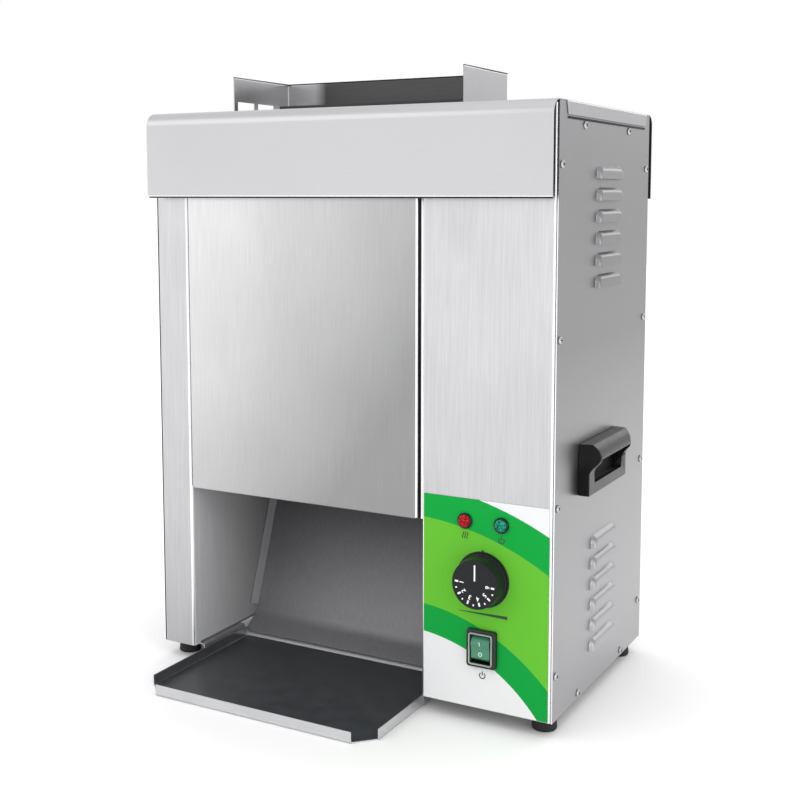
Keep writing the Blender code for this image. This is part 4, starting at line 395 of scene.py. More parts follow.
def closed(bm):
    """Points the faces of a closed shape outwards."""
    bmesh.ops.recalc_face_normals(bm, faces=bm.faces)
    return bm


def edges_along(bm, axis, least):
    """Gives the edges that reach further than a length along an axis."""
    return [edge for edge in bm.edges if abs((edge.verts[0].co - edge.verts[1].co)[axis]) > least]


def faces_in(centre):
    """Gives the test for the faces of a shell that look towards its middle."""
    return lambda face: face.normal.dot(face.calc_center_median() - Vector(centre)) < 0.0


def turned_shape(profile, steps):
    """Spins a profile of radii and heights about the Z axis."""
    bm = bmesh.new()
    line = [bm.verts.new((radius, 0.0, height)) for radius, height in profile]
    edges = [bm.edges.new(pair) for pair in zip(line, line[1:])]
    bmesh.ops.spin(bm, geom=line + edges, cent=(0.0, 0.0, 0.0), axis=(0.0, 0.0, 1.0), dvec=(0.0, 0.0, 0.0),
                   angle=math.tau, steps=steps, use_merge=True, use_duplicate=False)
    bmesh.ops.remove_doubles(bm, verts=bm.verts, dist=0.001 * MM)
    return closed(bm)


def box_shape(size, centre=(0.0, 0.0, 0.0), bevel=0.0, segments=3):
    """A block about a centre, with rounded edges where asked."""
    bm = bmesh.new()
    bmesh.ops.create_cube(bm, size=1.0)
    bmesh.ops.scale(bm, verts=bm.verts, vec=size)
    if bevel > 0.0:
        bevelled(bm, bm.edges[:], bevel, segments)
    return moved(bm, centre)


def block_between(low, high, bevel=0.0, segments=3):
    """A block from its low corner to its high one."""
    return box_shape(Vector(high) - Vector(low), (Vector(low) + Vector(high)) / 2.0, bevel, segments)


def joined(shapes):
    """Puts several shapes into one."""
    whole = bmesh.new()
    for shape in shapes:
        part = mesh_from(shape, "part", None)
        whole.from_mesh(part)
        bpy.data.meshes.remove(part)
    return whole


def worked(obj, tools=()):
    """Gives an object's shape with its modifiers worked in, and takes away the object and its tools."""
    graph = bpy.context.evaluated_depsgraph_get()
    mesh = bpy.data.meshes.new_from_object(obj.evaluated_get(graph))
    bm = bmesh.new()
    bm.from_mesh(mesh)
    bpy.data.meshes.remove(mesh)
    for helper in (obj, *tools):
        bpy.data.objects.remove(helper, do_unlink=True)
    return bm


def carved(shape, steps, edge=0.0):
    """Cuts a shape by others or joins them to it, one step after another, once its edges are rounded."""
    whole = linked("whole", mesh_from(shape, "whole", None))
    if edge > 0.0:
        soften(whole, edge, 3)
    tools = []
    for operation, tool in steps:
        tools.append(linked("tool", mesh_from(tool, "tool", None)))
        step = whole.modifiers.new(operation, "BOOLEAN")
        step.operation = operation
        step.solver = "EXACT"
        step.object = tools[-1]
    return worked(whole, tools)


# Screws: places on the side panels are depths and heights from the front bottom corner of the body
SCREW_RADIUS = 4.2 * MM
SCREW_HEIGHT = 2.6 * MM
SCREW_SIDES = 24
SCREW_PROFILE_SHARES = ((0.0, 0.0), (1.0, 0.0), (1.0, 0.22), (0.96, 0.45), (0.84, 0.70), (0.62, 0.88),
                        (0.35, 0.97), (0.0, 1.0))
RECESS_LENGTH = 1.25 * SCREW_RADIUS
RECESS_WIDTH = 0.30 * SCREW_RADIUS
RECESS_HEIGHT = 1.2 * SCREW_HEIGHT
# Shares of the head's radius and height that bound its faces painted dark as shade, in the recess and round
# the seat
RECESS_EDGE_SHARE = 0.65
DOME_SHARE = 0.93
DOME_FALL_SHARE = 0.28
SEAT_SHARE = 0.25
SCREW_TURN = 0.7
SIDE_SCREW_DEPTHS = mm(8.0, 290.0)
SIDE_SCREW_HEIGHTS = mm(50.0, 232.0, 410.0, 591.0)
SIDE_SCREW_ROWS = (mm(74.0, 633.5), mm(221.0, 633.5), mm(77.0, 6.5), mm(225.0, 6.5))
REAR_SCREW_INSET = 10.0 * MM
REAR_SCREW_HEIGHTS = mm(60.0, 235.0, 410.0, 540.0)


def screw_head():
    """A pan head with a cross recess, its seat at the origin and its top towards +Z."""
    profile = [(SCREW_RADIUS * across, SCREW_HEIGHT * up) for across, up in SCREW_PROFILE_SHARES]
    cross = [("DIFFERENCE", box_shape((long, wide, RECESS_HEIGHT), (0.0, 0.0, SCREW_HEIGHT)))
             for long, wide in ((RECESS_LENGTH, RECESS_WIDTH), (RECESS_WIDTH, RECESS_LENGTH))]
    mesh = mesh_from(carved(turned_shape(profile, SCREW_SIDES), cross), "head", None)
    # The cross recess and the foot of the head take steel painted dark as shade
    for face in mesh.polygons:
        out = face.center.xy.length / SCREW_RADIUS
        dome = SCREW_HEIGHT * (DOME_SHARE - DOME_FALL_SHARE * out ** 2)
        in_recess = out < RECESS_EDGE_SHARE and face.center.z < dome
        face.material_index = int(in_recess or face.center.z < SEAT_SHARE * SCREW_HEIGHT)
    return mesh


HEAD = screw_head()


def screws(name, places, facing):
    """Pan head screws at their places, each turned a little differently as a hand leaves them."""
    lay = Vector((0.0, 0.0, 1.0)).rotation_difference(Vector(facing)).to_matrix().to_4x4()
    whole = bmesh.new()
    for index, place in enumerate(places):
        start = len(whole.verts)
        whole.from_mesh(HEAD)
        whole.verts.ensure_lookup_table()
        seat = Matrix.Translation(place) @ lay @ Matrix.Rotation(SCREW_TURN * index, 4, "Z")
        bmesh.ops.transform(whole, matrix=seat, verts=whole.verts[start:])
    placed(name, whole, (SCREW_STEEL, SHADED_STEEL))


def panel_screws():
    """Screws of the side panels, in two columns and two short rows, and down both edges of the rear panel."""
    spots = [(y, z) for y in SIDE_SCREW_DEPTHS for z in SIDE_SCREW_HEIGHTS] + [*SIDE_SCREW_ROWS]
    for side, sign in SIDES:
        places = [(sign * BODY_RIGHT, BODY_FRONT + y, BODY_BOTTOM + z) for y, z in spots]
        screws(f"{side}_panel_screws", places, (sign, 0.0, 0.0))
    low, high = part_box("rear_panel")
    places = [(x, high.y, BODY_BOTTOM + z) for x in (low.x + REAR_SCREW_INSET, high.x - REAR_SCREW_INSET)
              for z in REAR_SCREW_HEIGHTS]
    screws("rear_panel_screws", places, (0.0, 1.0, 0.0))


# Louvres of the right side panel: quarter-round corners, a roll along the top, open along the bottom
LOUVRE_COUNT = 6
LOUVRE_PITCH = 24.0 * MM
LOUVRE_HEIGHT = 14.5 * MM
LOUVRE_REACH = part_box("right_side_panel")[1].x - BODY_RIGHT
LOUVRE_FRONT = 113.0 * MM
LOUVRE_LENGTH = 83.0 * MM
LOUVRE_TOPS = mm(592.0, 176.0)
LOUVRE_CORNER = 13.0 * MM
LOUVRE_ROLL = 5.5 * MM
LOUVRE_STEPS = mm(0.0, 0.7, 1.6, 2.7, 4.0, 5.5, 7.5, 10.0, 13.0)
LOUVRE_MIDDLE_SHARES = (0.3, 0.5, 0.7)
LOUVRE_FRONT_STEEPNESS = 1.5
LOUVRE_TOP_SHARE = 0.82


def louvre_out(along, down):
    """How far a louvre stands out at a place on it, from the distance to its rounded outline."""
    side = min(LOUVRE_FRONT_STEEPNESS * along, LOUVRE_LENGTH - along)
    inside = min(side, down)
    if side < LOUVRE_CORNER and down < LOUVRE_CORNER:
        inside = LOUVRE_CORNER - math.hypot(LOUVRE_CORNER - side, LOUVRE_CORNER - down)
    roll = math.sin(math.pi / 2.0 * max(0.0, min(1.0, inside / LOUVRE_ROLL)))
    return LOUVRE_REACH * roll * (LOUVRE_TOP_SHARE + (1.0 - LOUVRE_TOP_SHARE) * down / LOUVRE_HEIGHT)


def louvred_panel():
    """One sheet with two banks of louvres pressed out of it, each torn open along its lower edge."""
    across = [*LOUVRE_STEPS, *(LOUVRE_LENGTH * share for share in LOUVRE_MIDDLE_SHARES),
              *(LOUVRE_LENGTH - step for step in reversed(LOUVRE_STEPS))]
    columns = [0.0, *(LOUVRE_FRONT + step for step in across), BODY_REAR - BODY_FRONT]
    downs = [*LOUVRE_STEPS, LOUVRE_HEIGHT]
    rows = [(0.0, None)]
    for top in reversed(LOUVRE_TOPS):
        for index in reversed(range(LOUVRE_COUNT)):
            rows += [(top - LOUVRE_PITCH * index - down, down) for down in reversed(downs)]
    rows.append((PANEL_TOP - BODY_BOTTOM, None))
    last_column = len(columns) - 1
    last_row = len(rows) - 1
    bm = bmesh.new()
    made = bmesh.ops.create_grid(bm, x_segments=last_column, y_segments=last_row, size=0.5)["verts"]
    place_of = {vert: (round((vert.co.x + 0.5) * last_column), round((vert.co.y + 0.5) * last_row))
                for vert in made}
    torn = []
    for edge in bm.edges:
        (start, row), (end, other_row) = (place_of[vert] for vert in edge.verts)
        inside = 0 < min(start, end) and max(start, end) < last_column
        if inside and row == other_row and rows[row][1] == LOUVRE_HEIGHT:
            torn.append(edge)
    for vert, (column, row) in place_of.items():
        vert.co = (0.0, columns[column], rows[row][0])
    bmesh.ops.split_edges(bm, edges=torn)
    for vert in bm.verts:
        along = vert.co.y - LOUVRE_FRONT
        down = min(rows, key=lambda row: abs(row[0] - vert.co.z))[1]
        if not down or not 0.0 < along < LOUVRE_LENGTH:
            continue
        sill = all(face.calc_center_median().z < vert.co.z for face in vert.link_faces)
        if down < LOUVRE_HEIGHT or not sill:
            vert.co.x = louvre_out(along, down)
    bmesh.ops.recalc_face_normals(bm, faces=bm.faces)
    if sum(face.normal.x * face.calc_area() for face in bm.faces) < 0.0:
        bmesh.ops.reverse_faces(bm, faces=bm.faces)
    sheet = linked("sheet", mesh_from(moved(bm, (BODY_RIGHT, BODY_FRONT, BODY_BOTTOM)), "sheet", None))
    shell = sheet.modifiers.new("Sheet", "SOLIDIFY")
    shell.thickness = SHEET
    shell.offset = -1.0
    bm = worked(sheet)
    # Front edges of the sheet take steel painted bright as a highlight
    for face in bm.faces:
        if face.normal.y < -SQUARE and face.calc_center_median().y < BODY_FRONT + TOUCH:
            face.material_index = 1
    panel = placed("right_side_panel_sheet", bm, (SIDE_STEEL, HIGHLIGHT_STEEL),
                   stands_for=["right_side_panel"], gentle=GENTLE_PRESSED)
    weigh_normals(panel)


# Thin trim in the gaps beside the front cover: strips that lie clear of their neighbours
COVER_GAP = 4.4 * MM
RETURN_CLEAR = 0.2 * MM
RETURN_SET_BACK = 1.2 * MM
RETURN_DEPTH = 5.5 * MM
RETURN_DROP = 10.0 * MM
RETURN_ROUND = 0.7 * MM
PANEL_RETURN_WIDTH = 1.9 * MM
PANEL_RETURN_LAP = 0.3 * MM


def cover_returns():
    """The folded strips that close the gap on each side of the front cover, set back from its face: the
    cover's two painted dark as shade, the panel's painted bright as a highlight.
    """
    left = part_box("left_front_pillar")[1].x
    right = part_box("right_front_panel")[0].x
    shade_end = right - PANEL_RETURN_WIDTH
    for name, start, end, set_back, finish in (
            ("left_cover_return", left + RETURN_CLEAR, left + COVER_GAP - RETURN_CLEAR, RETURN_SET_BACK,
             SHADED_STEEL),
            ("right_cover_return", right - COVER_GAP + RETURN_CLEAR, shade_end, RETURN_SET_BACK,
             SHADED_STEEL),
            ("right_panel_return", shade_end - PANEL_RETURN_LAP, right + PANEL_RETURN_LAP, 0.0, HIGHLIGHT_STEEL)):
        strip = block_between((start, BODY_FRONT + set_back, COVER_LOW.z),
                              (end, BODY_FRONT + RETURN_DEPTH, COVER_HIGH.z - RETURN_DROP), RETURN_ROUND)
        placed(name, strip, (finish,))


# Strips of painted shadow under the hood and the hem along its front, as sizes and as places from the corner
# that each follows
SIDE_SHADOW_STRIP = mm(1.3, 2.2)
SIDE_SHADOW_STRIP_PLACE = mm(0.75, 17.8)
SIDE_SHADOW_STRIP_ENDS = mm(25.0, 21.0)
FRONT_SHADOW_STRIP = mm(2.5, 6.0)
FRONT_SHADOW_STRIP_PLACE = mm(1.4, 1.2)
FRONT_SHADOW_STRIP_INSET = 1.0 * MM
HEM = mm(0.5, 1.3)
HEM_PLACE = mm(0.1, 0.55)
SIDE_SHADOW_STRIP_ROUND, FRONT_SHADOW_STRIP_ROUND, HEM_ROUND = mm(0.3, 0.4, 0.15)


def hood_shadow_strips():
    """Dark strips that show as lines of painted shadow under the hood, and the hem along its front, painted
    bright as a highlight.
    """
    low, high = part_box("top_hood")
    start = BODY_FRONT + SIDE_SHADOW_STRIP_ENDS[0]
    end = BODY_REAR - SIDE_SHADOW_STRIP_ENDS[1]
    for side, sign in SIDES:
        shadow_strip = box_shape((SIDE_SHADOW_STRIP[0], end - start, SIDE_SHADOW_STRIP[1]),
                         (sign * (BODY_RIGHT + SIDE_SHADOW_STRIP_PLACE[0]), (start + end) / 2.0,
                          high.z - SIDE_SHADOW_STRIP_PLACE[1]), SIDE_SHADOW_STRIP_ROUND, 2)
        placed(f"{side}_hood_shadow_strip", shadow_strip, (FOOT_RUBBER,))
    skirt = [vert.co for vert in frame["nodes"]["top_hood"].data.vertices if vert.co.y < low.y + SHEET]
    skirt_end = max(point.x for point in skirt)
    skirt_bottom = min(point.z for point in skirt)
    shadow_strip = box_shape((2.0 * (skirt_end - FRONT_SHADOW_STRIP_INSET), *FRONT_SHADOW_STRIP),
                     (0.0, low.y + SHEET + FRONT_SHADOW_STRIP_PLACE[0], skirt_bottom + FRONT_SHADOW_STRIP_PLACE[1]),
                     FRONT_SHADOW_STRIP_ROUND, 2)
    placed("front_hood_shadow_strip", shadow_strip, (FOOT_RUBBER,))
    hem = box_shape((2.0 * skirt_end, *HEM), (0.0, low.y + HEM_PLACE[0], skirt_bottom + HEM_PLACE[1]),
                    HEM_ROUND, 2)
    placed("hood_hem", hem, (HIGHLIGHT_STEEL,))


# Dial: radii, and heights above its back
DIAL_BASE_RADIUS = 29.5 * MM
DIAL_FACE_RADIUS = 26.5 * MM
DIAL_SIDES = 96
DIAL_CLEAR = 0.3 * MM
DIAL_CHAMFER = 0.6 * MM
DIAL_SKIRT = mm(0.1, 2.4)
DIAL_GROOVE = mm(1.3, 3.0)
DIAL_NECK_SHARE = 0.72
DIAL_RIM = 1.1 * MM
DIAL_RIM_IN = 0.5 * MM
DIAL_RIM_SHARE = 0.9
DIAL_RIM_STEPS = 6
DIAL_DISH = mm(3.0, 3.4)
DIAL_DISH_DEPTH = 0.35 * MM

# Marks on the dial: width, length and distance from its centre
DIAL_MARK_START = math.radians(175.5)
DIAL_MARK_STEP = math.radians(36.6)
DIAL_MARK_COUNT = 6
DIAL_POINTER = mm(1.7, 17.5, 13.0)
DIAL_STROKE = mm(2.0, 4.8, 21.6)
DIAL_DOT = mm(1.5, 2.4, 22.4)
MARK_THICKNESS = 0.24 * MM
MARK_ROUND = 0.1 * MM
FIGURE_SIZE = 6.8 * MM
FIGURE_PLACE = 14.9 * MM
FIGURE_WEIGHT_SHARE = 0.02


def figure_shape(words):
    """Raised figures about their centre, facing -Y and upright along Z."""
    curve = bpy.data.curves.new("figures", "FONT")
    curve.body = words
    curve.size = FIGURE_SIZE
    curve.extrude = MARK_THICKNESS / 2.0
    curve.offset = FIGURE_WEIGHT_SHARE * FIGURE_SIZE
    curve.align_x = "CENTER"
    curve.align_y = "CENTER"
    return turned(worked(linked("figures", curve)), TO_FRONT)


def dial_mark(width, length, place):
    """A flat upright mark at a distance from the dial's centre."""
    return box_shape((width, MARK_THICKNESS, length), (0.0, 0.0, place), MARK_ROUND, 1)


def dial():
    """The dial: a tapered cap with a rounded rim and a fine groove under it, and its white marks."""
    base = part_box("knob_bezel")[0].y - DIAL_CLEAR
    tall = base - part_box("temperature_dial")[0].y
    slope = (DIAL_BASE_RADIUS - DIAL_FACE_RADIUS) / tall
    neck = DIAL_NECK_SHARE * tall
    groove_radius = DIAL_BASE_RADIUS - DIAL_GROOVE[0]
    neck_radius = groove_radius - slope * (neck - DIAL_GROOVE[1]) * 0.5
    dish = tall - DIAL_DISH_DEPTH
    profile = [(0.0, 0.0), (DIAL_BASE_RADIUS - DIAL_CHAMFER, 0.0), (DIAL_BASE_RADIUS, DIAL_CHAMFER),
               (DIAL_BASE_RADIUS - DIAL_SKIRT[0], DIAL_SKIRT[1]), (groove_radius, DIAL_GROOVE[1]),
               (neck_radius, neck)]
    for index in range(DIAL_RIM_STEPS + 1):
        angle = math.pi / 2.0 * index / DIAL_RIM_STEPS
        profile.append((neck_radius - DIAL_RIM_IN - DIAL_RIM * (1.0 - math.cos(angle)) * DIAL_RIM_SHARE,
                        tall - DIAL_RIM + DIAL_RIM * math.sin(angle)))
    profile += [(DIAL_FACE_RADIUS - DIAL_DISH[0], tall), (DIAL_FACE_RADIUS - DIAL_DISH[1], dish), (0.0, dish)]
    bm = moved(turned(turned_shape(profile, DIAL_SIDES), TO_FRONT), (KNOB_CENTRE.x, base, KNOB_CENTRE.z))
    weigh_normals(placed("temperature_dial_cap", bm, (KNOB_PLASTIC,), "dial",
                         ["temperature_dial"], gentle=GENTLE_MOULDED))

    shapes = [dial_mark(*DIAL_POINTER)]
    for index in range(2 * DIAL_MARK_COUNT - 1):
        angle = DIAL_MARK_START + DIAL_MARK_STEP * index / 2.0 - math.pi / 2.0
        turn = Matrix.Rotation(-angle, 4, "Y")
        if index % 2 == 0:
            shapes.append(turned(dial_mark(*DIAL_STROKE), turn))
            shapes.append(turned(figure_shape(str(index // 2 + 1)),
                                 turn @ Matrix.Translation((0.0, 0.0, FIGURE_PLACE))))
        else:
            shapes.append(turned(dial_mark(*DIAL_DOT), turn))
    marks = moved(joined(shapes), (KNOB_CENTRE.x, base - dish, KNOB_CENTRE.z))
    placed("dial_marks", marks, (WHITE_PRINT,), "dial", gentle=None)


# Switch: widths and heights of its frame, of the body behind it and of the well that the rocker sits in
SWITCH_FACE = mm(35.0, 42.0)
SWITCH_BODY = mm(27.0, 37.0)
SWITCH_WELL = mm(22.6, 32.4)
SWITCH_THICKNESS = 4.5 * MM
SWITCH_CORNER = 3.2 * MM
SWITCH_ROUND = 1.1 * MM
SWITCH_BODY_BACK = 0.5 * MM
SWITCH_WELL_FORWARD = 2.2 * MM
RIM_SIZE = mm(27.6, 35.0)
RIM_WALL = 1.1 * MM
RIM_DEPTH = 2.8 * MM
RIM_CORNER = 2.6 * MM
RIM_ROUND = 0.4 * MM
CORNER_STEPS = 6

# Rocker: its pivot, its lean when off, the tilt of each half, and how far its middle stands out
ROCKER_PIVOT = Vector(mm(180.0, -101.85, 87.5))
ROCKER_LEAN = math.radians(8.0)
ROCKER_FACET = math.atan2(1.2, 8.21)
ROCKER_MIDDLE = 12.3 * MM
ON_BAR = mm(1.0, 0.3, 5.2)
ON_BAR_SUNK = 0.05 * MM
ON_HEIGHT = 9.0 * MM
OFF_RING = mm(1.5, 2.3, 0.2)
OFF_RING_SIDES = 32
OFF_HEIGHT = -3.6 * MM


def rim_shape(width, height):
    """An upright ring with round corners, its back at the origin and its front towards -Y."""
    bm = box_shape((width, RIM_DEPTH, height), (0.0, -RIM_DEPTH / 2.0, 0.0))
    bevelled(bm, edges_along(bm, 1, RIM_DEPTH / 2.0), RIM_CORNER, CORNER_STEPS)
    caps = [face for face in bm.faces if abs(face.normal.y) > SQUARE]
    bmesh.ops.inset_individual(bm, faces=caps, thickness=RIM_WALL)
    bmesh.ops.bridge_loops(bm, edges=[edge for face in caps for edge in face.edges])
    bmesh.ops.delete(bm, geom=caps, context="FACES_KEEP_BOUNDARY")
    return closed(bm)


def rocker_mark(height):
    """Lays a flat mark on the tilted rocker at a height from its middle."""
    facet = ROCKER_FACET if height > 0.0 else -ROCKER_FACET
    depth = -ROCKER_MIDDLE - abs(height) * math.tan(ROCKER_FACET)
    return (Matrix.Translation(ROCKER_PIVOT) @ Matrix.Rotation(ROCKER_LEAN, 4, "X")
            @ Matrix.Translation((0.0, depth, height)) @ Matrix.Rotation(facet, 4, "X"))


def switch():
    """The rocker switch: its black housing, the raised rim of its cover and the green rocker with marks."""
    low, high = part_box("switch_housing")
    deep = high.y - low.y
    middle = centre_of("switch_housing")
    front = Vector((middle.x, low.y, middle.z))
    outer = box_shape((SWITCH_FACE[0], SWITCH_THICKNESS, SWITCH_FACE[1]),
                      front + Vector((0.0, SWITCH_THICKNESS / 2.0, 0.0)))
    bevelled(outer, edges_along(outer, 1, SWITCH_THICKNESS / 2.0), SWITCH_CORNER, CORNER_STEPS)
    front_edges = [edge for edge in outer.edges if all(vert.co.y < low.y + TOUCH for vert in edge.verts)]
    bevelled(outer, front_edges, SWITCH_ROUND)
    body = box_shape((SWITCH_BODY[0], deep - 2.0 * SWITCH_BODY_BACK, SWITCH_BODY[1]),
                     middle + Vector((0.0, SWITCH_BODY_BACK, 0.0)))
    well = box_shape((SWITCH_WELL[0], deep, SWITCH_WELL[1]), middle - Vector((0.0, SWITCH_WELL_FORWARD, 0.0)))
    case = carved(outer, [("UNION", body), ("DIFFERENCE", well)])
    weigh_normals(placed("switch_case", case, (SWITCH_PLASTIC,),
                         stands_for=["switch_housing"]))
    cover = placed("switch_cover_rim", moved(rim_shape(*RIM_SIZE), front), (RIM_SILICONE,))
    soften(cover, RIM_ROUND)

    dressed("switch_rocker", "moulding", ROCKER_GREEN, "rocker_plastic", 0.5 * MM)
    bar = turned(box_shape(ON_BAR, (0.0, -ON_BAR_SUNK, 0.0), MARK_ROUND, 1), rocker_mark(ON_HEIGHT))
    inner, outer, thick = OFF_RING
    ring = turned_shape([(inner, 0.0), (outer, 0.0), (outer, thick), (inner, thick), (inner, 0.0)],
                        OFF_RING_SIDES)
    marks = joined([bar, turned(ring, rocker_mark(OFF_HEIGHT) @ TO_FRONT)])
    placed("switch_marks", marks, (MINT_PRINT,), "rocker", gentle=None)


# Printed symbols: places on the fascia across and up, widths, lengths and thickness of the ink
INK_THICKNESS = 0.16 * MM
WAVE_PLACE = mm(158.5, 210.5)
WAVE_SPACING = mm(-2.6, 0.0, 2.6)
WAVE_SIZE = mm(1.1, 7.4)
WAVE_BEND = 0.7 * MM
POWER_PLACES = ((*mm(201.5, 210.0), 1.25), (*mm(180.0, 56.5), 1.3))
POWER_RING = mm(2.1, 3.0)
POWER_RING_ANGLE = math.radians(284.0)
POWER_RING_TURN = Matrix.Rotation(math.radians(-52.0), 4, "Y")
POWER_RING_STEPS = 30
POWER_BAR = mm(0.95, 3.4)
POWER_BAR_RISE = 1.9 * MM
WEDGE_PLACE = mm(151.0, 125.6)
WEDGE_LENGTH = 58.0 * MM
WEDGE_ENDS = mm(0.5, 3.6)


def grid_shape(across, up, place_of):
    """A flat grid whose points, which run half a unit each way, are put where a rule says."""
    bm = bmesh.new()
    bmesh.ops.create_grid(bm, x_segments=across, y_segments=up, size=0.5)
    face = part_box("control_fascia")[0].y
    for vert in bm.verts:
        x, z = place_of(vert.co.x, vert.co.y)
        vert.co = (x, face, z)
    return bm


def fascia_symbols():
    """Plain printed symbols: heat waves, a power ring, a wedge that widens with heat, and a bar and ring."""
    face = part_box("control_fascia")[0].y
    shapes = [grid_shape(1, 12, lambda x, z: (
        WAVE_PLACE[0] + offset + x * WAVE_SIZE[0] + WAVE_BEND * math.sin(math.tau * z),
        WAVE_PLACE[1] + z * WAVE_SIZE[1])) for offset in WAVE_SPACING]
    for across, up, size in POWER_PLACES:
        ring = bmesh.new()
        ends = [ring.verts.new((radius * size, 0.0, 0.0)) for radius in POWER_RING]
        edge = ring.edges.new(ends)
        bmesh.ops.spin(ring, geom=[*ends, edge], cent=(0.0, 0.0, 0.0), axis=(0.0, 1.0, 0.0),
                       dvec=(0.0, 0.0, 0.0), angle=POWER_RING_ANGLE, steps=POWER_RING_STEPS,
                       use_merge=False, use_duplicate=False)
        shapes.append(moved(turned(ring, POWER_RING_TURN), (across, face, up)))
        shapes.append(grid_shape(1, 1, lambda x, z: (
            across + x * POWER_BAR[0] * size, up + (z * POWER_BAR[1] + POWER_BAR_RISE) * size)))
    shapes.append(grid_shape(16, 1, lambda x, z: (
        WEDGE_PLACE[0] + WEDGE_LENGTH * (x + 0.5),
        WEDGE_PLACE[1] + z * (WEDGE_ENDS[0] + (WEDGE_ENDS[1] - WEDGE_ENDS[0]) * (x + 0.5)))))
    bm = joined(shapes)
    bmesh.ops.recalc_face_normals(bm, faces=bm.faces)
    bmesh.ops.reverse_faces(bm, faces=[side for side in bm.faces if side.normal.y > 0.0])
    print_layer = placed("fascia_symbols", bm, (DARK_PRINT,), gentle=None)
    layer = print_layer.modifiers.new("Ink", "SOLIDIFY")
    layer.thickness = INK_THICKNESS
    layer.offset = 1.0


# Lamp lenses: a dome of small pyramids over a straight skirt
LENS_FACETS = 10
LENS_GRID_SHARE = 1.05
LENS_KEPT_SHARE = 0.97
FACET_RISE = 0.85 * MM
LENS_RISE_SHARE = 0.62
DOME_ROUND_SHARE = 0.85
LENS_SKIRT = 1.2 * MM
LENS_SEAT = 1.3 * MM


def lamp(colour, finish):
    """An indicator lamp: a ring round a domed lens cut into small pyramids."""
    dressed(f"{colour}_lamp_body", "ring", LAMP_CHROME, "lamp_bezel", 0.25 * MM)
    low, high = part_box(f"{colour}_lamp_lens")
    radius = (high.x - low.x) / 2.0
    centre = centre_of(f"{colour}_lamp_lens")
    bm = bmesh.new()
    bmesh.ops.create_grid(bm, x_segments=LENS_FACETS, y_segments=LENS_FACETS, size=radius * LENS_GRID_SHARE)
    bmesh.ops.poke(bm, faces=bm.faces, offset=FACET_RISE, center_mode="MEAN", use_relative_offset=False)
    outside = [face for face in bm.faces
               if face.calc_center_median().xy.length > radius * LENS_KEPT_SHARE]
    bmesh.ops.delete(bm, geom=outside, context="FACES")
    rise = (high.y - low.y) * LENS_RISE_SHARE
    for vert in bm.verts:
        share = min(1.0, vert.co.xy.length / radius)
        drop = math.sqrt(1.0 - DOME_ROUND_SHARE)
        vert.co.z += rise * (math.sqrt(1.0 - DOME_ROUND_SHARE * share * share) - drop)
    grown = bmesh.ops.extrude_edge_only(bm, edges=[edge for edge in bm.edges if edge.is_boundary])
    for vert in (item for item in grown["geom"] if isinstance(item, bmesh.types.BMVert)):
        vert.co.z = -LENS_SKIRT
        vert.co.xy = vert.co.xy.normalized() * radius
    bmesh.ops.contextual_create(bm, geom=[edge for edge in bm.edges if edge.is_boundary])
    moved(turned(closed(bm), TO_FRONT), (centre.x, high.y - LENS_SEAT, centre.z))
    placed(f"{colour}_lamp_lens_cut", bm, (finish,), stands_for=[f"{colour}_lamp_lens"], gentle=None)


# Handle: levels of its outside, each as how far it stands out, its height, and how far its ends draw in
HANDLE_FACE = 13.0 * MM
HANDLE_LIP = mm(23.0, 43.0, 12.5)
HANDLE_RIDGE = mm(14.0, 57.0, 5.6)
HANDLE_SWEEP_FOOT = 24.0 * MM
HANDLE_SWEEP_STEPS = 9
HANDLE_CROWN_DROP = 2.0 * MM
HANDLE_TOP_STEPS = 5
HANDLE_BULGE = 1.4 * MM
HANDLE_BULGE_RISE_SHARE = 0.6
HANDLE_ROOT_INSET = 1.5 * MM
HANDLE_RIDGE_INSET = 2.0 * MM
HANDLE_ROUND = 1.1 * MM
# Least share of a face's normal along the grip's length for it to count as an end face, which takes painted
# shade
HANDLE_END = 0.8

# Finger pocket of the handle, opened downwards and outwards behind the lip
HANDLE_WALL = 3.2 * MM
POCKET_SILL = 12.5 * MM
POCKET_UNDER = HANDLE_LIP[1] - 3.0 * MM
POCKET_FAR = HANDLE_LIP[0] + 4.0 * MM
POCKET_STEP = 0.1 * MM
POCKET_BACK = 2.0 * MM
POCKET_ROOT = 1.0 * MM
POCKET_ENDS = mm(17.0, 14.0, 12.0)
POCKET_MIDDLE = mm(8.0, 30.0)


def handle_levels(levels, length):
    """Joins a closed solid through level rings; each ring runs from the panel out, along and back."""
    bm = bmesh.new()
    rings = []
    for reach, height, inset, root in levels:
        loop = [bm.verts.new(point) for point in (
            (0.0, root[1], root[0]), (reach, inset, height), (reach, length - inset, height),
            (0.0, length - root[1], root[0]))]
        rings.append([bm.edges.new((loop[i], loop[(i + 1) % 4])) for i in range(4)])
    for lower, upper in zip(rings, rings[1:]):
        bmesh.ops.bridge_loops(bm, edges=lower + upper)
    for ring in (rings[0], rings[-1]):
        bmesh.ops.contextual_create(bm, geom=ring)
    return closed(bm)


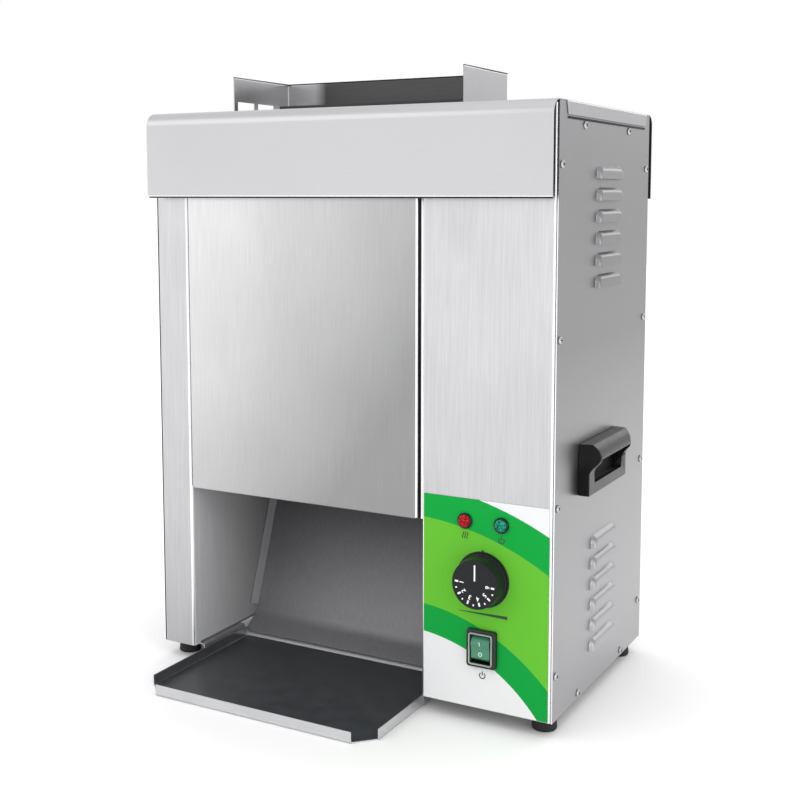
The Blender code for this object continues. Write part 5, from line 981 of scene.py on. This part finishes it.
def handle_profile():
    """The outside of the handle, from its foot up the face, out along the sweep to the lip, and back."""
    levels = [(HANDLE_FACE, 0.0, 0.0, (0.0, 0.0)),
              (HANDLE_FACE, HANDLE_SWEEP_FOOT, 0.0, (HANDLE_SWEEP_FOOT, 0.0))]
    reach, height, inset = HANDLE_LIP
    sweep = height - HANDLE_CROWN_DROP - HANDLE_SWEEP_FOOT
    for index in range(1, HANDLE_SWEEP_STEPS + 1):
        share = index / HANDLE_SWEEP_STEPS
        ease = 0.5 - 0.5 * math.cos(math.pi * share)
        z = HANDLE_SWEEP_FOOT + sweep * share
        levels.append((HANDLE_FACE + (reach - HANDLE_FACE) * ease, z, inset * ease, (z, 0.0)))
    levels.append((reach, height, inset, (height, 0.0)))
    for index in range(1, HANDLE_TOP_STEPS):
        share = index / HANDLE_TOP_STEPS
        bulge = HANDLE_BULGE * math.sin(math.pi * share)
        out, z, draw_in = (start + (end - start) * share for start, end in zip(HANDLE_LIP, HANDLE_RIDGE))
        levels.append((out + bulge, z + bulge * HANDLE_BULGE_RISE_SHARE, draw_in,
                       (z, HANDLE_ROOT_INSET * share)))
    levels.append((*HANDLE_RIDGE, (HANDLE_RIDGE[1], HANDLE_RIDGE_INSET)))
    return levels


def handles():
    """The two moulded grips, each with a lip that overhangs its finger pocket."""
    hollow = [(reach, z, inset, (z, inset)) for reach, z, inset in (
        (POCKET_FAR, POCKET_SILL, POCKET_ENDS[0]), (POCKET_FAR, POCKET_UNDER, POCKET_ENDS[1]),
        (HANDLE_LIP[0] - HANDLE_WALL, POCKET_UNDER + POCKET_STEP, POCKET_ENDS[1]),
        (HANDLE_RIDGE[0] - HANDLE_WALL, HANDLE_RIDGE[1] - HANDLE_WALL, POCKET_ENDS[2]))]
    for side, sign in SIDES:
        low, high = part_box(f"{side}_handle")
        wall = low.x if sign > 0.0 else high.x
        length = high.y - low.y
        pocket = handle_levels(hollow, length)
        bmesh.ops.translate(pocket, verts=[vert for vert in pocket.verts if vert.co.x < POCKET_ROOT],
                            vec=(POCKET_BACK, 0.0, 0.0))
        bm = carved(handle_levels(handle_profile(), length), [("DIFFERENCE", pocket)], HANDLE_ROUND)
        bmesh.ops.remove_doubles(bm, verts=bm.verts, dist=0.01 * MM)
        if sign < 0.0:
            bmesh.ops.scale(bm, verts=bm.verts, vec=(-1.0, 1.0, 1.0))
            bmesh.ops.reverse_faces(bm, faces=bm.faces)
        moved(bm, (wall, low.y, low.z))
        inside = faces_in((wall + sign * POCKET_MIDDLE[0], (low.y + high.y) / 2.0,
                           low.z + POCKET_MIDDLE[1]))
        # Faces in the finger pocket and the grips' end faces take nylon painted dark as shade
        for face in bm.faces:
            face.material_index = int(inside(face) or abs(face.normal.y) > HANDLE_END)
        weigh_normals(placed(f"{side}_handle_grip", bm, (HANDLE_NYLON, SHADED_NYLON),
                             stands_for=[f"{side}_handle"], gentle=GENTLE_MOULDED))


# Coating on the tray's floor: how far it keeps from the folds, its cut corners, and where it lies
COATING_INSET = 3.0 * MM
COATING_CORNER = 20.0 * MM
COATING_FOOT = 0.025 * MM
COATING_THICKNESS = 0.25 * MM


def tray_floor():
    """The dark non-stick coating on the tray's floor."""
    low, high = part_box("landing_tray")
    foot = low.z + SHEET + COATING_FOOT
    bm = block_between((low.x + COATING_INSET, low.y + COATING_INSET, foot),
                       (high.x - COATING_INSET, high.y, foot + COATING_THICKNESS))
    front = [edge for edge in edges_along(bm, 2, COATING_THICKNESS / 2.0)
             if edge.verts[0].co.y < low.y + COATING_CORNER]
    placed("tray_floor_coating", bevelled(bm, front, COATING_CORNER, 1), (TRAY_COATING,),
           "tray", gentle=None)


# Bends of folded sheet: how far the front sheets' is widened, and the guard's radii outside and inside
CORNER_BEND = 1.8 * MM
CORNER_GROWTH = 1.6 * MM
CORNER_CLEAR = 0.1 * MM
GUARD_BENDS = ((True, 2.6 * MM), (False, 1.4 * MM))
GUARD_LEAST_AREA = 200.0 * MM * MM
HOOD_MIDDLE = mm(0.0, 43.0, 560.0)
GUARD_MIDDLE = mm(-54.0, 40.0, 692.0)
SHEET_EDGE = 0.15 * MM


def round_bends(bm):
    """Rolls the sharp corners of a folded sheet: a wide radius outside and a tight one inside."""
    for convex, radius in GUARD_BENDS:
        edges = [edge for edge in bm.edges if len(edge.link_faces) == 2 and edge.is_convex == convex
                 and edge.calc_face_angle() > math.radians(60.0)
                 and min(face.calc_area() for face in edge.link_faces) > GUARD_LEAST_AREA]
        bevelled(bm, edges, radius, 4)


def widen_corner(bm):
    """Widens the bend at the right edge of a front sheet, which shows as a bright upright line."""
    centre = Vector((max(vert.co.x for vert in bm.verts) - CORNER_BEND, BODY_FRONT + CORNER_BEND))
    inner_centre = centre + Vector((-CORNER_GROWTH, CORNER_GROWTH))
    for vert in bm.verts:
        out = vert.co.xy - centre
        if out.x > -CORNER_CLEAR and out.y < CORNER_CLEAR:
            vert.co.xy = inner_centre + out + CORNER_GROWTH * out.normalized()


def part_at_cover(bm):
    """Widens the pillar's bend and parts its faces at the cover's lower edge."""
    widen_corner(bm)
    bmesh.ops.bisect_plane(bm, geom=bm.verts[:] + bm.edges[:] + bm.faces[:], dist=0.001 * MM,
                           plane_co=(0.0, 0.0, COVER_LOW.z), plane_no=(0.0, 0.0, 1.0))


def dressed(node, suffix, finish, slot, edge=0.0, reshape=None, others=()):
    """Shows a frame piece as one smooth surface; faces that pass a test take another finish."""
    bm = merged_copy(node)
    if reshape:
        reshape(bm)
    for index, (_, test) in enumerate(others):
        for face in bm.faces:
            if test(face):
                face.material_index = index + 1
    finishes = [finish] + [another for another, _ in others]
    obj = placed(f"{node}_{suffix}", bm, finishes, BODY_OF[node], [node])
    if edge > 0.0:
        soften(obj, edge)
    weigh_normals(obj)


def dress_frame():
    """Gives every frame piece that keeps its shape its own finish."""
    for finish, slot, nodes in (
            (SIDE_STEEL, "side_stainless", ("rear_panel",)),
            (INNER_STEEL, "inner_stainless", ("base_pan",)),
            (BAY_STEEL, "inner_stainless", ("left_inner_wall", "right_inner_wall")),
            (INNER_STEEL, "inner_stainless", ("tray_guide_left", "tray_guide_right", "platen_bracket_left",
                                              "platen_bracket_right", "motor_bracket")),
            (TRAY_STEEL, "tray_stainless", ("landing_tray",))):
        for node in nodes:
            dressed(node, "sheet", finish, slot, SHEET_EDGE)
    # Bends and cut edges take steel painted bright as highlights; the pillar's flange in the bay takes the
    # bay walls' paler finish, a painted light
    right_bend = (HIGHLIGHT_STEEL, lambda face: face.normal.x > LEANING and face.normal.y < -LEANING)
    both_bends = (HIGHLIGHT_STEEL, lambda face: abs(face.normal.x) > LEANING and face.normal.y < -LEANING)
    front_edge = (HIGHLIGHT_STEEL, lambda face: face.normal.y < -SQUARE)
    bay_side = (BAY_STEEL, lambda face: face.normal.x > SQUARE
                and face.calc_center_median().z < COVER_LOW.z)
    hood_ends = (GUARD_OUTSIDE, lambda face: abs(face.normal.x) > SLANTED)
    # The hood's inner faces are painted dark as shade, and the guard's inner faces take its painted shade
    under_hood = (SHADED_STEEL, faces_in(HOOD_MIDDLE))
    in_guard = (GUARD_STEEL, faces_in(GUARD_MIDDLE))
    chute_flanges = (CHUTE_EDGE, lambda face: abs(face.normal.x) > SLANTED)
    for node, finish, slot, reshape, others in (
            ("front_cover", COVER_STEEL, "brushed_stainless", None, (right_bend,)),
            ("left_side_panel", SIDE_STEEL, "side_stainless", None, (front_edge,)),
            ("left_front_pillar", FRONT_STEEL, "brushed_stainless", part_at_cover, (right_bend, bay_side)),
            ("right_front_panel", FRONT_STEEL, "brushed_stainless", widen_corner, (both_bends,)),
            ("top_hood", HOOD_STEEL, "hood_stainless", None, (hood_ends, under_hood)),
            ("bun_guard", GUARD_OUTSIDE, "hood_stainless", round_bends, (in_guard,)),
            ("bun_chute", CHUTE_STEEL, "inner_stainless", None, (chute_flanges,))):
        dressed(node, "sheet", finish, slot, SHEET_EDGE, reshape, others)
    dressed("control_fascia", "film", FASCIA_FILM, "fascia_film")
    dressed("release_sheet", "film", RELEASE_FILM, "release_film")
    for side in ("left", "right"):
        for end in ("front", "rear"):
            dressed(f"foot_{end}_{side}", "moulding", FOOT_RUBBER, "foot_rubber", 0.6 * MM)
            for level in ("lower", "upper"):
                dressed(f"{end}_{level}_bush_{side}", "turning", BRONZE, "sintered_bronze", 0.3 * MM)
    for end in ("front", "rear"):
        dressed(f"{end}_belt", "wirework", BELT_STEEL, "belt_stainless")
        dressed(f"{end}_drive_gear", "cutting", GEAR_STEEL, "gear_steel")
        for level in ("lower", "upper"):
            dressed(f"{end}_{level}_roller", "turning", ROLLER_STEEL, "roller_steel")
        dressed(f"platen_{end}", "casting", CAST_ALUMINIUM, "cast_aluminium")
    for row in (("platen_cap", "casting", CAST_ALUMINIUM, "cast_aluminium", 0.8 * MM),
                ("heating_element", "tube", SHEATH_STEEL, "element_sheath"),
                ("idler_gear", "cutting", GEAR_STEEL, "gear_steel"),
                ("motor_pinion", "cutting", GEAR_STEEL, "gear_steel"),
                ("gear_motor", "case", MOTOR_ENAMEL, "motor_paint"),
                ("knob_bezel", "moulding", KNOB_PLASTIC, "knob_plastic", 0.25 * MM),
                ("terminal_block", "moulding", PHENOLIC, "phenolic", 0.4 * MM),
                ("thermostat", "moulding", PHENOLIC, "phenolic"),
                ("cable_gland", "moulding", GLAND_NYLON, "gland_nylon", 0.5 * MM)):
        dressed(*row)


# Camera of the photograph, with the shift kept small and the rest taken up by a slight tilt
CAMERA_PLACE = (0.7147, -1.2775, 0.5773)
CAMERA_TURN = math.radians(28.57)
CAMERA_TILT = math.radians(5.839)
CAMERA_LENS = 54.87
CAMERA_SENSOR = 36.0
CAMERA_SHIFT = -0.10

# Soft lights: place, the point that each faces, width and height in metres, and watts
LIGHTS = (("key", (-2.2, -2.6, 2.4), (0.0, 0.0, 0.3), (2.4, 2.0), 6.0),
          ("top", (0.2, 0.0, 3.2), (0.0, 0.0, 0.0), (3.4, 3.0), 5.0),
          ("right", (2.9, -1.45, 0.9), (0.2, 0.0, 0.35), (0.8, 1.8), 10.0),
          ("rear", (1.3, 3.7, 1.9), (0.26, 0.0, 0.5), (1.4, 1.2), 8.0))

# Light of the room: at the far side and at the near side, and what its ceiling adds to each kind of ray
SKY_FAR = 0.86
SKY_NEAR = 0.97
SKY_SIDE = Vector((-0.62, -0.78, 0.0))
SKY_CEILING = 1.00
SKY_CEILING_MIRRORED = -0.16
SKY_HORIZON = 0.08
WHITE = (1.0, 1.0, 1.0, 1.0)
FLOOR_REACH = 9.0


def camera():
    """The photograph's view."""
    data = bpy.data.cameras.new("camera")
    data.lens = CAMERA_LENS
    data.sensor_width = CAMERA_SENSOR
    data.shift_y = CAMERA_SHIFT
    obj = linked("camera", data)
    obj.location = CAMERA_PLACE
    obj.rotation_euler = (math.pi / 2.0 - CAMERA_TILT, 0.0, CAMERA_TURN)
    bpy.context.scene.camera = obj


def floor():
    """A plain floor in matt paint, pale grey with clouds too weak to notice."""
    paint = grained("pale_floor", ((2.0, 2.0, 2.0), 1.0, 0.5), ("#e2e2e2", "#e5e5e5"), Roughness=0.9)
    bm = bmesh.new()
    bmesh.ops.create_circle(bm, cap_ends=True, radius=FLOOR_REACH, segments=96)
    obj = linked("studio_floor", mesh_from(bm, "floor", None))
    obj.data.materials.append(paint)


def sky():
    """A white room: even white to look at, and a soft light that is stronger from the front left.

    Matt surfaces get all the light of its ceiling, and mirrored rays find it dimmed, so that steel seen from
    above keeps its tone. This depends on the kind of ray alone, not on where the camera stands."""
    world = bpy.data.worlds.new("studio_room")
    bpy.context.scene.world = world
    world.use_nodes = True
    tree = world.node_tree
    tree.nodes.clear()
    coords = add(tree, "TexCoord").outputs["Generated"]
    toward = add(tree, "VectorMath", {"operation": "DOT_PRODUCT"}, {0: coords, 1: SKY_SIDE})
    side = add(tree, "MapRange", {"interpolation_type": "SMOOTHSTEP"}, {
        "Value": toward.outputs["Value"], "From Min": -1.0, "From Max": 1.0, "To Min": SKY_FAR,
        "To Max": SKY_NEAR})
    path = add(tree, "LightPath")
    ceiling = add(tree, "MapRange", sockets={
        "Value": path.outputs["Is Glossy Ray"], "To Min": SKY_CEILING, "To Max": SKY_CEILING_MIRRORED})
    up = add(tree, "SeparateXYZ", sockets={"Vector": coords})
    above = add(tree, "MapRange", {"interpolation_type": "SMOOTHSTEP"}, {
        "Value": up.outputs["Z"], "From Min": SKY_HORIZON, "From Max": 1.0, "To Min": 0.0,
        "To Max": ceiling.outputs["Result"]})
    level = add(tree, "Math", {"operation": "ADD"}, {
        0: side.outputs["Result"], 1: above.outputs["Result"]})
    light = add(tree, "Background", sockets={"Color": WHITE, "Strength": level.outputs["Value"]})
    seen = add(tree, "Background", sockets={"Color": WHITE, "Strength": 1.0})
    mixed = add(tree, "MixShader", sockets={
        0: path.outputs["Is Camera Ray"], 1: light.outputs["Background"], 2: seen.outputs["Background"]})
    add(tree, "OutputWorld", sockets={"Surface": mixed.outputs["Shader"]})


def lights():
    """Large soft lights that face the toaster."""
    for name, place, target, size, power in LIGHTS:
        data = bpy.data.lights.new(name, "AREA")
        data.shape = "RECTANGLE"
        data.size, data.size_y = size
        data.energy = power
        obj = linked(name, data)
        obj.location = place
        obj.rotation_euler = (Vector(target) - Vector(place)).to_track_quat("-Z", "Y").to_euler()


camera()
dress_frame()
louvred_panel()
panel_screws()
dial()
switch()
fascia_symbols()
handles()
hood_shadow_strips()
cover_returns()
lamp("red", RED_LENS)
lamp("green", TEAL_LENS)
tray_floor()
floor()
sky()
lights()
bpy.context.scene.view_settings.view_transform = "Standard"
